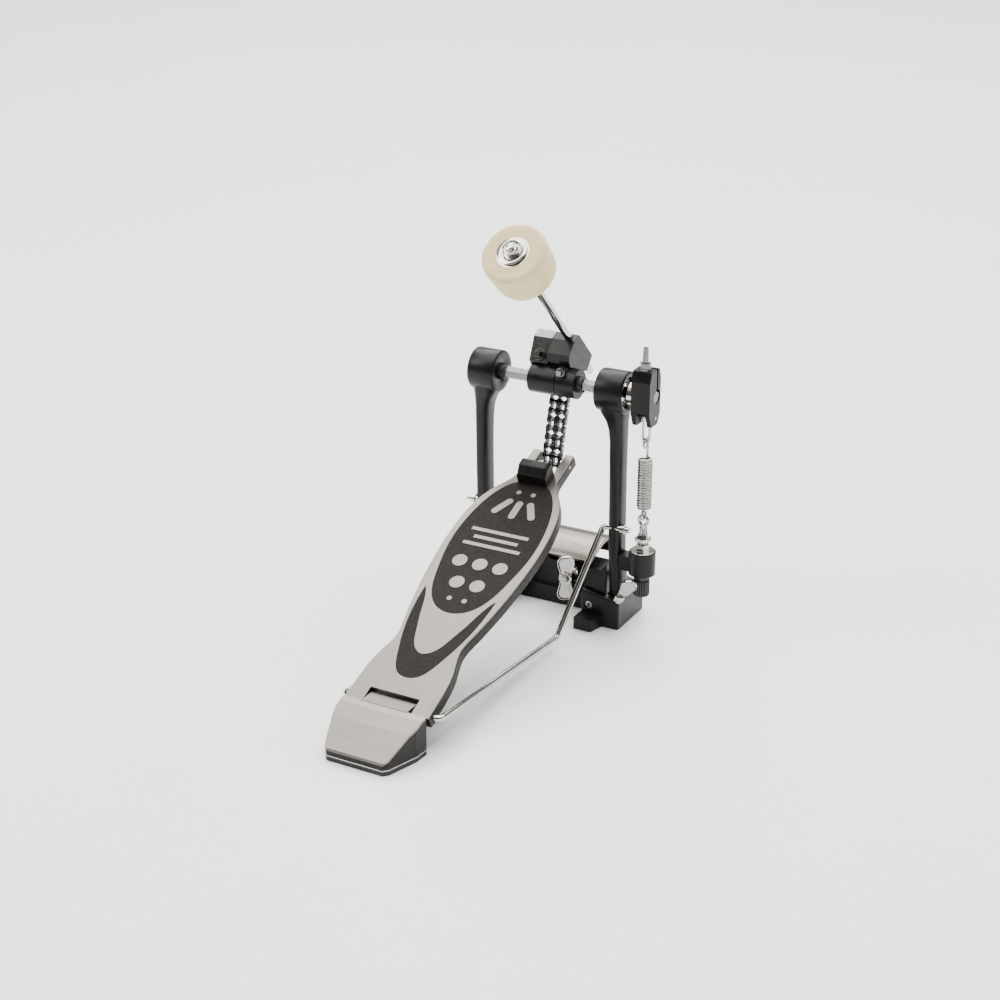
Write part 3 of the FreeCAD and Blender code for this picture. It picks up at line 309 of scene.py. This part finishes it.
def finished(name, mesh, finish, body, replaced=(), sharp=32):
    """Make an object of a mesh, with smooth faces and sharp creases, and let it ride on its body."""
    mesh.validate()
    mesh.materials.append(MATERIALS[finish])
    mesh.shade_smooth()
    mesh.set_sharp_from_angle(angle=math.radians(sharp))
    piece = placed(name, mesh)
    if body:
        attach(piece, body)
    if replaced:
        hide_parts(*replaced)
    return piece


def along(origin, direction, turn=0.0):
    """Frame with its Z along a direction, at an origin, turned about that direction."""
    facing = Vector(direction).normalized().to_track_quat("Z", "Y").to_matrix().to_4x4()
    return Matrix.Translation(origin) @ facing @ Matrix.Rotation(turn, 4, "Z")


def ring_of(build, frame_of, radius_at, height, sides):
    """Add a ring of corners round a frame's Z at a height (mm); its radius (mm) may follow the angle."""
    ring = []
    for side in range(sides):
        angle = math.tau * side / sides
        radius = radius_at(height, angle)
        spot = Vector((radius * math.cos(angle), radius * math.sin(angle), height)) * MM
        ring.append(build.verts.new(frame_of @ spot))
    return ring


def stitch(build, rings):
    """Add the faces between each ring of corners and the next."""
    for low, high in zip(rings, rings[1:]):
        for side in range(len(low)):
            after = (side + 1) % len(low)
            build.faces.new((low[side], low[after], high[after], high[side]))


def cap(build, first, last):
    """Close both ends of a stitched body."""
    build.faces.new(list(reversed(first)))
    build.faces.new(last)


def steady(radius):
    """Radius that is the same at every height and angle."""
    return lambda height, angle: radius


def stepped(radii):
    """Radius looked up by its height."""
    return lambda height, angle: radii[height]


def turned(build, frame_of, radius_at, heights, sides, bore=None):
    """Add a closed turned body, solid or bored, with rings at the heights (mm)."""
    rings = [ring_of(build, frame_of, radius_at, height, sides) for height in heights]
    if not bore:
        stitch(build, rings)
        cap(build, rings[0], rings[-1])
        return
    foot, head = [ring_of(build, frame_of, steady(bore), height, sides)
                  for height in (heights[0], heights[-1])]
    stitch(build, [foot] + rings + [head, foot])


def lathed(build, frame_of, outline, sides):
    """Add a closed ring turned from a closed outline of (radius, height) corners in millimetres."""
    rings = [ring_of(build, frame_of, steady(radius), height, sides) for radius, height in outline]
    stitch(build, rings + rings[:1])


def swept(build, points, radius, sides=12, closed=False):
    """Add a round wire of a radius (mm) along points (metres), with a frame that does not twist."""
    last = len(points) - 1
    rings = []
    side_way = None
    for place, point in enumerate(points):
        before = points[place - 1] if closed or place else point
        after = points[(place + 1) % len(points)] if closed or place < last else point
        forward = (after - before).normalized()
        if side_way is None:
            side_way = forward.orthogonal().normalized()
        side_way = (side_way - forward * side_way.dot(forward)).normalized()
        other = forward.cross(side_way)
        ring = []
        for side in range(sides):
            angle = math.tau * side / sides
            outward = side_way * math.cos(angle) + other * math.sin(angle)
            ring.append(build.verts.new(point + outward * radius * MM))
        rings.append(ring)
    if closed:
        stitch(build, rings + rings[:1])
    else:
        stitch(build, rings)
        cap(build, rings[0], rings[-1])


def mesh_of(build, name):
    """Turn a finished build into a mesh whose faces point outward."""
    mesh = bpy.data.meshes.new(name)
    bmesh.ops.recalc_face_normals(build, faces=build.faces)
    build.to_mesh(mesh)
    build.free()
    return mesh


def steps(low, high, count):
    """Evenly spaced values from low to high, both included."""
    return [low + (high - low) * step / count for step in range(count + 1)]


def hexagonal(flats, low, high):
    """Radius of a hexagon across flats whose two ends are chamfered by a cone."""
    sixth, slope = math.pi / 3, 1.7

    def radius_at(height, angle):
        flat = flats / 2 / math.cos((angle + sixth / 2) % sixth - sixth / 2)
        inset = min(height - low, high - height)
        return min(flat, flats * 0.5 + inset * slope)
    return radius_at


def threaded(radius, pitch, low, high):
    """Radius of a screw thread that runs out over its first and last turn."""
    depth = 0.55 * pitch

    def radius_at(height, angle):
        phase = (height / pitch - angle / math.tau) % 1
        groove = abs(phase - 0.5) * 2
        fade = min(1, (height - low) / pitch, (high - height) / pitch)
        return radius - depth * (1 - groove) * max(0, fade)
    return radius_at


# ---------------------------------------------------------------- posts
# Half section of the bearing housing: (radius, distance from the pedal's middle) in millimetres.
HOUSING_INNER, HOUSING_OUTER, BEARING_SEAT, AXLE_HOLE = 39.5, 60.0, 48, 5.95
HOUSING = [(AXLE_HOLE, HOUSING_INNER + 0.4), (6.3, HOUSING_INNER), (14.1, HOUSING_INNER),
           (14.75, HOUSING_INNER + 0.3), (15.0, HOUSING_INNER + 0.95), (15.0, HOUSING_OUTER - 0.95),
           (14.75, HOUSING_OUTER - 0.3), (14.1, HOUSING_OUTER), (11.5, HOUSING_OUTER),
           (11.05, HOUSING_OUTER - 0.45), (11.05, BEARING_SEAT), (AXLE_HOLE, BEARING_SEAT)]
# Sections of the column: height, middle and half depth in Y, middle and half width in X.
COLUMN = [(20.1, 5.25, 7.70, 53.5, 5.2), (31, 5.25, 7.70, 53.5, 5.2), (38, 4.6, 7.3, 53.5, 5.15),
          (48, 3.0, 7.15, 53.5, 5.1), (62, 1.2, 7.2, 53.5, 5.0), (90, 0.7, 7.1, 53.5, 5.0),
          (120, 0.1, 7.2, 53.5, 5.0), (142, 0, 7.5, 53.4, 5.2), (151, 0, 8.0, 52.9, 5.7),
          (157, 0, 8.8, 52.0, 6.8), (161, 0, 9.8, 50.9, 8.2), (164, 0, 10.7, 50.2, 9.0),
          (170, 0, 11.4, 50.0, 9.4)]
COLUMN_SIDES, OVAL_POWER = 48, 0.62
# The column ends on a cylinder round the axle, inside the housing's wall.
COLUMN_REACH, COLUMN_WIDEST = 12.9, 12


def post(side):
    """Cast upright whose oval column tapers, then flares into the ring round the ball bearing."""
    name = "right_post" if side > 0 else "left_post"
    axle = Vector(JOINTS["axle_spin"]["pos_m"])
    build = bmesh.new()
    lathed(build, along(Vector((0, axle.y, axle.z)), (side, 0, 0)), HOUSING, 96)
    rings = []
    for height, mid_y, half_y, mid_x, half_x in COLUMN:
        ring = []
        for step in range(COLUMN_SIDES):
            angle = math.tau * step / COLUMN_SIDES
            across, deep = math.cos(angle), math.sin(angle)
            x = mid_x + half_x * math.copysign(abs(across) ** OVAL_POWER, across)
            y = mid_y + half_y * math.copysign(abs(deep) ** OVAL_POWER, deep)
            ceiling = axle.z / MM - math.sqrt(COLUMN_REACH ** 2 - min(abs(y), COLUMN_WIDEST) ** 2)
            ring.append(build.verts.new((side * x * MM, axle.y + y * MM, min(height, ceiling) * MM)))
        rings.append(ring)
    stitch(build, rings)
    cap(build, rings[0], rings[-1])
    finished(name + "_cast", mesh_of(build, name + "_cast"), "casting", "base", [name],
             sharp=50)


# ---------------------------------------------------------------- beater
SHAFT_WAY = Vector(JOINTS["beater_slide"]["axis"]).normalized()
SHAFT_LOW, SHAFT_TOP, SHAFT_RADIUS = -33.0, 138.0, 2.75
FELT_LOW, FELT_TOP, FELT_RADIUS = 103.0, 131.0, 22.4
FELT_HALF = (FELT_TOP - FELT_LOW) / 2
FELT_TAPER, TAPER_POWER, FELT_SHRINK = 1.5, 1.6, 0.12
THREAD_LOW, END_ROUND = FELT_TOP - 2, 0.8
FINE_PITCH, COARSE_PITCH = 0.8, 1.0


def shaft_frame():
    """Frame whose Z runs up the beater shaft, with heights counted as the shaft's own millimetres."""
    centre = middle("beater_shaft") - SHAFT_WAY * (SHAFT_LOW + SHAFT_TOP) / 2 * MM
    return along(centre, SHAFT_WAY)


def beater_shaft():
    """Polished shaft with rounded ends and a thread under the nuts."""
    build = bmesh.new()
    thread_top = SHAFT_TOP - 0.7
    thread = threaded(SHAFT_RADIUS, FINE_PITCH, THREAD_LOW, thread_top)

    def radius_at(height, angle):
        rounding = min(height - SHAFT_LOW, SHAFT_TOP - height, END_ROUND)
        fullness = math.sqrt(max(0, END_ROUND ** 2 - (END_ROUND - rounding) ** 2))
        end = SHAFT_RADIUS - END_ROUND + fullness
        return min(end, thread(height, angle) if height > THREAD_LOW else SHAFT_RADIUS)
    heights = (steps(SHAFT_LOW, SHAFT_LOW + END_ROUND, 4) + [0, 50, FELT_LOW - 6] +
               steps(THREAD_LOW, SHAFT_TOP - END_ROUND, 64) + steps(thread_top, SHAFT_TOP, 4))
    turned(build, shaft_frame(), radius_at, heights, 40)
    finished("beater_shaft_turned", mesh_of(build, "beater_shaft_turned"), "chrome", "beater",
             ["beater_shaft"])


def felt_outline():
    """Closed outline of the felt as (radius, height): flat foot, tapered side, dished top, shaft hole."""
    round_top, round_low, foot_inset, hole = 3.4, 2.2, 1.6, 3.2
    dip_depth, dip_reach = 0.55, 14
    outline = [(hole, FELT_LOW + 0.2)]
    outline += [(radius, FELT_LOW - 0.15 * math.sin(radius / 20 * math.pi)) for radius in steps(6, 18, 6)]
    for angle in steps(0, 90, 6):
        turn = math.radians(angle)
        outline.append((FELT_RADIUS - foot_inset - round_low * (1 - math.sin(turn)),
                        FELT_LOW + round_low * (1 - math.cos(turn))))
    for share in steps(0.12, 0.84, 14):
        outline.append((FELT_RADIUS - FELT_TAPER * (1 - share) ** TAPER_POWER,
                        FELT_LOW + share * 2 * FELT_HALF))
    for angle in steps(0, 90, 8):
        turn = math.radians(angle)
        outline.append((FELT_RADIUS - round_top * (1 - math.cos(turn)),
                        FELT_TOP - round_top * (1 - math.sin(turn))))
    outline += [(radius, FELT_TOP - dip_depth * ((18 - radius) / dip_reach) ** 2)
                for radius in steps(18, 6, 10)]
    outline.append((hole, FELT_TOP - 0.9))
    return outline


def felt_head():
    """Felt barrel with rounded rims, a dip round the washer and a faintly uneven pressed surface."""
    build = bmesh.new()
    place = shaft_frame()
    sides = 144
    rings = []
    for radius, height in felt_outline():
        ring = []
        for side in range(sides):
            angle = math.tau * side / sides
            spot = Vector((radius * math.cos(angle), radius * math.sin(angle), height))
            lump = (noise.noise(spot * 0.16) * 0.22 + noise.noise(spot * 0.7) * 0.10 +
                    noise.noise(spot * 2.1) * 0.05)
            outward = Vector((spot.x, spot.y, (height - FELT_LOW - FELT_HALF) * 0.9)).normalized()
            ring.append(build.verts.new(place @ ((spot + outward * (lump - FELT_SHRINK)) * MM)))
        rings.append(ring)
    stitch(build, rings + rings[:1])
    piece = finished("felt_beater_head", mesh_of(build, "felt_beater_head"), "felt", "beater",
                     ["felt_head"], sharp=180)


def felt_fuzz():
    """Short loose fibres that stand off the felt, so that its edge is not a clean line."""
    build = bmesh.new()
    place = shaft_frame()
    chance = random.Random(7)
    strands, thickness, on_the_side = 2600, 0.022, 0.6
    for _ in range(strands):
        angle = chance.uniform(0, math.tau)
        if chance.random() < on_the_side:
            height = chance.uniform(FELT_LOW + 2.5, FELT_TOP - 3)
            share = (height - FELT_LOW) / (FELT_TOP - FELT_LOW)
            reach = FELT_RADIUS - 0.35 - FELT_TAPER * (1 - share) ** TAPER_POWER
            root = Vector((math.cos(angle), math.sin(angle), 0)) * reach
            root.z = height
            out = Vector((math.cos(angle), math.sin(angle), chance.uniform(-0.5, 0.5)))
        else:
            radius = chance.uniform(10, FELT_RADIUS - 2)
            root = Vector((radius * math.cos(angle), radius * math.sin(angle), FELT_TOP - 0.5))
            out = Vector((chance.uniform(-0.7, 0.7), chance.uniform(-0.7, 0.7), 1))
        lean = Vector([chance.uniform(-1, 1) for _ in range(3)]) * 0.9
        length = chance.uniform(0.5, 1.15)
        tip = root + (out.normalized() + lean).normalized() * length
        bend = (root + tip) / 2 + Vector([chance.uniform(-0.2, 0.2) for _ in range(3)])
        swept(build, [place @ (spot * MM) for spot in (root, bend, tip)], thickness, sides=3)
    finished("felt_fuzz", mesh_of(build, "felt_fuzz"), "felt", "beater")


def felt_fastening():
    """Dished chrome cup, spring washer and nut on top; plain washer and lock nut underneath."""
    place = shaft_frame()
    across_flats, nut_bore = 8.6, 2.9
    build = bmesh.new()
    hollow = FELT_TOP + 0.5
    cup = {FELT_TOP - 0.6: 11.2, FELT_TOP - 0.1: 11.4, hollow: 5.4, FELT_TOP + 1.3: 10.2,
           FELT_TOP + 1.75: 8.9, FELT_TOP + 1.7: 7.7, FELT_TOP + 1.2: 6.7, FELT_TOP + 0.7: 6.2}
    turned(build, place, stepped(cup), [*cup, hollow], 72, bore=3.0)
    turned(build, place, steady(5.0), [FELT_TOP + 0.62, FELT_TOP + 1.5], 48, bore=3.0)
    under = {FELT_LOW - 1.4: 8.2, FELT_LOW - 1.2: 8.5, FELT_LOW + 0.1: 8.5}
    turned(build, place, stepped(under), list(under), 48, bore=nut_bore)
    finished("felt_cup_and_washers", mesh_of(build, "felt_cup_and_washers"), "chrome", "beater",
             ["felt_washers"])
    build = bmesh.new()
    for low, high in ((FELT_TOP + 1.55, FELT_TOP + 5), (FELT_LOW - 5, FELT_LOW - 1.4)):
        turned(build, place, hexagonal(across_flats, low, high), steps(low, high, 10), 72, bore=nut_bore)
    finished("felt_hex_nuts", mesh_of(build, "felt_hex_nuts"), "bright", "beater",
             ["felt_nuts"])


# ---------------------------------------------------------------- return spring
def spring():
    """Close-wound coil whose end turns draw in to meet the hooks."""
    low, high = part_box("spring_coil")
    centre = (low + high) / 2
    hook_low, hook_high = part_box("spring_lower_hook")
    wire, hook_wire, lap, draw_in = 0.82, 0.95, 0.6, 0.7
    neck = (hook_high.y - hook_low.y) / 2 - hook_wire * MM
    coil = (high.x - low.x) / 2 - wire * MM
    turns, per_turn = 20, 40
    bottom, top = low.z - lap * MM, high.z + lap * MM
    points = []
    for step in range(turns * per_turn + 1):
        share = step / (turns * per_turn)
        angle = math.tau * share * turns + math.pi / 2
        to_end = min(share, 1 - share) * turns
        radius = neck + (coil - neck) * min(1, to_end / draw_in)
        points.append(Vector((centre.x + radius * math.cos(angle), centre.y + radius * math.sin(angle),
                              bottom + (top - bottom) * share)))
    build = bmesh.new()
    swept(build, points, wire, sides=10)
    piece = finished("spring_winding", mesh_of(build, "spring_winding"), "spring", None,
                     ["spring_coil"], sharp=180)
    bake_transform(piece)


def eyebolt():
    """Threaded stem with a closed round eye."""
    low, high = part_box("eyebolt")
    centre = (low + high) / 2
    wire, stem, neck, neck_length, eye_steps = 1.2, 2.88, 2.4, 1.6, 48
    eye = (high.x - low.x) / 2 - wire * MM
    build = bmesh.new()
    eye_middle = Vector((centre.x, centre.y, high.z - eye - wire * MM))
    ring = [eye_middle + Vector((math.cos(turn), 0, math.sin(turn))) * eye
            for turn in [math.tau * step / eye_steps for step in range(eye_steps)]]
    swept(build, ring, wire, sides=16, closed=True)
    bottom, top = low.z / MM, (eye_middle.z - eye) / MM + 0.4
    profile = threaded(stem, FINE_PITCH, bottom, top - neck_length)

    def radius_at(height, angle):
        return profile(height, angle) if height < top - neck_length else neck
    place = Matrix.Translation((centre.x, centre.y, 0))
    turned(build, place, radius_at, steps(bottom, top - 1.7, 230) + [top - 1.4, top], 32)
    finished("eyebolt_threaded", mesh_of(build, "eyebolt_threaded"), "bright", "base",
             ["eyebolt"])


def tension_knob():
    """Ribbed knob with a plain collar, a groove and a domed foot."""
    low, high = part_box("tension_knob")
    centre = (low + high) / 2
    bottom, top = low.z / MM, high.z / MM
    reach = (high.x - low.x) / 2 / MM
    ribs, rib_depth, dome, collar, groove = 20, 0.85, 1.2, 3.6, 4.6
    build = bmesh.new()

    def radius_at(height, angle):
        rib = 0.5 + 0.5 * math.cos(angle * ribs)
        ribbed = reach - rib_depth + rib_depth * rib ** 0.6
        if height > top - collar:
            return reach - 0.25 - max(0, height - top + 0.8)
        if height > top - groove:
            return reach - 1.3
        edge = max(0, dome - (height - bottom))
        return min(ribbed, reach - 0.02 - edge ** 2 * 0.9)
    heights = (steps(bottom, bottom + dome, 5) + steps(bottom + 1.6, top - 4.9, 6) +
               [top - 4.65, top - 4.55, top - 3.65, top - 3.55, top - 0.8, top - 0.3, top])
    turned(build, Matrix.Translation((centre.x, centre.y, 0)), radius_at, heights, 160, bore=2.98)
    finished("knob_ribbed", mesh_of(build, "knob_ribbed"), "plastic", "knob",
             ["tension_knob"])


# ---------------------------------------------------------------- thumb screws and wing nut
def paddle(build, place, half_outline, thick, rim, dish, twist=0.0, bend=0.0):
    """Add a flat finger grip: a mirrored outline (mm) with a raised rim, dished faces, twist and bend."""
    outline = half_outline + [(-across, height) for across, height in reversed(half_outline)]
    height_low = min(height for across, height in outline)
    height_high = max(height for across, height in outline)
    middle_height = (height_low + height_high) / 2
    half, edge, corner, slope = thick * 0.5, thick * 0.30, 0.35, 0.7
    layers = [(-edge, 0), (-half, corner), (-half, rim), (-half + dish, rim + slope),
              (half - dish, rim + slope), (half, rim), (half, corner), (edge, 0)]
    rings = []
    for depth, inset in layers:
        ring = []
        for across, height in outline:
            reach = math.hypot(across, height - middle_height) or 1
            shrink = max(0, 1 - inset / reach)
            x, z = across * shrink, middle_height + (height - middle_height) * shrink
            share = (z - height_low) / (height_high - height_low)
            turn = math.radians(twist) * share
            lean = bend * share * share
            spot = Vector((x * math.cos(turn) - depth * math.sin(turn),
                           x * math.sin(turn) + depth * math.cos(turn) + lean, z))
            ring.append(build.verts.new(place @ (spot * MM)))
        rings.append(ring)
    front, back = rings[:4], rings[4:]
    stitch(build, front)
    stitch(build, back + front[:1])
    build.faces.new(front[-1])
    build.faces.new(list(reversed(back[0])))


def spade_outline(neck, shoulder, widest, top, base):
    """Right half of a spade from its neck up to its rounded top."""
    points = [(neck, base), (neck * 1.04, base + 2.5), (shoulder, base + 6)]
    centre = top - widest
    points += [(widest * math.cos(math.radians(angle)), centre + widest * math.sin(math.radians(angle)))
               for angle in (-32, -10, 12, 34, 56, 76)]
    return points


def spur_screw(side):
    """Floor spike: pointed threaded stem, turned boss and a dished spade to turn it by."""
    name = "right_spur" if side > 0 else "left_spur"
    joint = JOINTS[name + "_turn"]
    place = along(Vector(joint["pos_m"]), joint["axis"])
    lined_up = place.inverted().to_3x3() @ Vector((1, 0, 0))
    turn = math.atan2(lined_up.y, lined_up.x) + math.radians(20) * side
    place = place @ Matrix.Rotation(turn, 4, "Z")
    tip, shoulder, thread_low, thread_high, stem_top = -26.3, -22, -21.5, 0.5, 1
    build = bmesh.new()
    thread = threaded(2.38, COARSE_PITCH, thread_low, thread_high)
    heights = [tip, shoulder] + steps(thread_low, thread_high, 150) + [stem_top]

    def stem(height, angle):
        if height <= shoulder:
            return 0.35 if height == tip else 2.2
        return thread(height, angle) if height <= thread_high else 2.3
    turned(build, place, stem, heights, 28)
    boss = {1.0: 3.1, 1.4: 3.55, 5.6: 3.6, 6.6: 3.3, 7.6: 2.6}
    turned(build, place, stepped(boss), list(boss), 40)
    outline = spade_outline(neck=2.6, shoulder=3.9, widest=5.9, top=27.2, base=5.4)
    paddle(build, place, outline, thick=3.0, rim=0.9, dish=0.55)
    piece = finished(name + "_spade", mesh_of(build, name + "_spade"), "chrome", name,
                     [name + "_screw"])
    soften(piece)


def soften(piece, width=0.35):
    """Round the hard edges by a width in millimetres."""
    bevel = piece.modifiers.new("round", "BEVEL")
    bevel.width = width * MM
    bevel.segments = 2
    bevel.limit_method = "ANGLE"
    bevel.angle_limit = math.radians(34)


def wing_nut():
    """Cast wing nut: flared hub and two twisted propeller blades that lean back."""
    joint = JOINTS["wing_turn"]
    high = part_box("wing_nut")[1]
    centre = Vector((middle("wing_nut").x, 0, joint["pos_m"][2]))
    build = bmesh.new()
    hub_low, hub_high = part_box("draw_bolt")[0].y / MM + 2.5, high.y / MM
    hub = {hub_low: 4.7, hub_low + 0.5: 5.5, hub_low + 7: 5.6, hub_high - 4.4: 6.3, hub_high - 1.2: 7.3,
           hub_high: 7.1}
    turned(build, along(centre, (0, 1, 0)), stepped(hub), list(hub), 48, bore=2.95)
    blade_y, blade_turn, twist = hub_low + 1.8, 108, 22
    outline = [(4.4, 2.2), (4.7, 5.0), (5.7, 8.0), (6.5, 11.0), (6.4, 14.0), (5.0, 16.6), (2.4, 17.75)]
    for end in (1, -1):
        upright = Matrix.Rotation(0 if end > 0 else math.pi, 4, "Y")
        place = (Matrix.Translation((centre.x, blade_y * MM, centre.z)) @ upright @
                 Matrix.Rotation(math.radians(blade_turn) * end, 4, "Z") @
                 Matrix.Rotation(-math.pi / 2, 4, "Z"))
        paddle(build, place, outline, thick=2.9, rim=1.0, dish=0.5, twist=twist * end, bend=-1.2)
    piece = finished("wing_nut_cast", mesh_of(build, "wing_nut_cast"), "chrome", "wing",
                     ["wing_nut"])
    soften(piece)


def draw_bolt():
    """Threaded clamp bolt with a round head."""
    low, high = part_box("draw_bolt")
    centre = (low + high) / 2
    bottom, top = low.y / MM, high.y / MM
    head, head_radius, end_chamfer, shank = 2.6, 5.2, 0.4, 5
    build = bmesh.new()
    thread = threaded(2.9, COARSE_PITCH, bottom + end_chamfer, top - shank)

    def radius_at(height, angle):
        if height > top - head:
            return head_radius - max(0, height - top + 0.8)
        return thread(height, angle) if height > bottom + end_chamfer else 2.3
    heights = ([bottom] + steps(bottom + end_chamfer, top - shank, 190) +
               [top - 2.61, top - 2.5, top - 0.8, top - 0.3, top])
    turned(build, along(Vector((centre.x, 0, centre.z)), (0, 1, 0)), radius_at, heights, 32)
    finished("draw_bolt_threaded", mesh_of(build, "draw_bolt_threaded"), "zinc", "draw_bolt",
             ["draw_bolt"])


# ---------------------------------------------------------------- studio
def look_at(thing, target):
    """Point a camera or lamp at a target."""
    thing.rotation_euler = (Vector(target) - thing.location).to_track_quat("-Z", "Y").to_euler()


def camera():
    """Camera at the pedal's front right, a little above it."""
    data = bpy.data.cameras.new("camera")
    data.sensor_width, data.lens = 36, 65.52
    eye = placed("camera", data)
    eye.location = (0.5542, -1.1056, 0.5826)
    look_at(eye, (-0.04105, -0.026, 0.07831))
    bpy.context.scene.camera = eye


def softbox(name, place, target, width, height, power, colour):
    """Rectangular area lamp of a size in metres and a power in watts."""
    data = bpy.data.lights.new(name, "AREA")
    data.shape, data.size, data.size_y = "RECTANGLE", width, height
    data.energy, data.color = power, colour
    lamp = placed(name, data)
    lamp.location = place
    look_at(lamp, target)


def studio_floor():
    """Pale floor, flat round the pedal and curved up far away."""
    flat, curve, sides = 9, 4, 96
    outline = [(0.0001, 0), (2.0, 0), (9.0, 0)]
    outline += [(flat + curve * math.sin(math.radians(turn)), curve - curve * math.cos(math.radians(turn)))
                for turn in (15, 35, 60, 90)]
    build = bmesh.new()
    rings = []
    for radius, height in outline:
        rings.append([build.verts.new((radius * math.cos(math.tau * side / sides),
                                       radius * math.sin(math.tau * side / sides), height))
                      for side in range(sides)])
    stitch(build, rings)
    mesh = mesh_of(build, "studio_floor")
    mesh.shade_smooth()
    made = new_material("studio_floor", (0.93, 0.93, 0.935), 0.55)
    vary_colour(made, grain(made, 3), (0.915, 0.915, 0.92), (0.945, 0.945, 0.95))
    vary_roughness(made, grain(made, 40), 0.5, 0.62)
    mesh.materials.append(made)
    floor = placed("studio_floor", mesh)


def studio_screen():
    """Dark screen round the far side, for the polished pieces to mirror."""
    reach, bottom, top = 2.5, 0.04, 1.9
    build = bmesh.new()
    bands = [[build.verts.new((reach * math.cos(math.radians(turn)), reach * math.sin(math.radians(turn)),
                               height)) for turn in range(-200, 21, 10)] for height in (bottom, top)]
    for before in range(len(bands[0]) - 1):
        build.faces.new((bands[0][before], bands[0][before + 1], bands[1][before + 1], bands[1][before]))
    mesh = mesh_of(build, "studio_dark_screen")
    dark = new_material("studio_screen", (0.03, 0.029, 0.028), 0.8)
    vary_colour(dark, grain(dark, 8), (0.025, 0.024, 0.023), (0.04, 0.038, 0.036))
    mesh.materials.append(dark)
    screen = placed("studio_dark_screen", mesh)


def studio():
    """Floor, dark screen, warm-grey surround and four softboxes."""
    studio_floor()
    studio_screen()
    world = bpy.data.worlds.new("studio")
    bpy.context.scene.world = world
    world.use_nodes = True
    back = world.node_tree.nodes["Background"]
    back.inputs["Color"].default_value = (1.0, 0.985, 0.96, 1)
    back.inputs["Strength"].default_value = 0.42
    pedal = (0, -0.1, 0.1)
    softbox("top_softbox", (-0.1, 0.5, 3.4), pedal, 4.6, 4.6, 400, (1.0, 0.99, 0.97))
    softbox("far_softbox", (-2.6, 5.0, 4.2), (-2.8, 5.2, 0), 5.0, 5.0, 420, (1.0, 1.0, 1.0))
    softbox("key_softbox", (-1.5, -1.3, 1.7), pedal, 0.9, 1.3, 30, (1.0, 0.98, 0.95))
    softbox("side_softbox", (1.9, 0.4, 0.9), pedal, 0.7, 1.3, 10, (1.0, 0.93, 0.84))


camera()
studio()
post(1)
post(-1)
beater_shaft()
felt_head()
felt_fuzz()
felt_fastening()
spring()
eyebolt()
tension_knob()
spur_screw(1)
spur_screw(-1)
wing_nut()
draw_bolt()
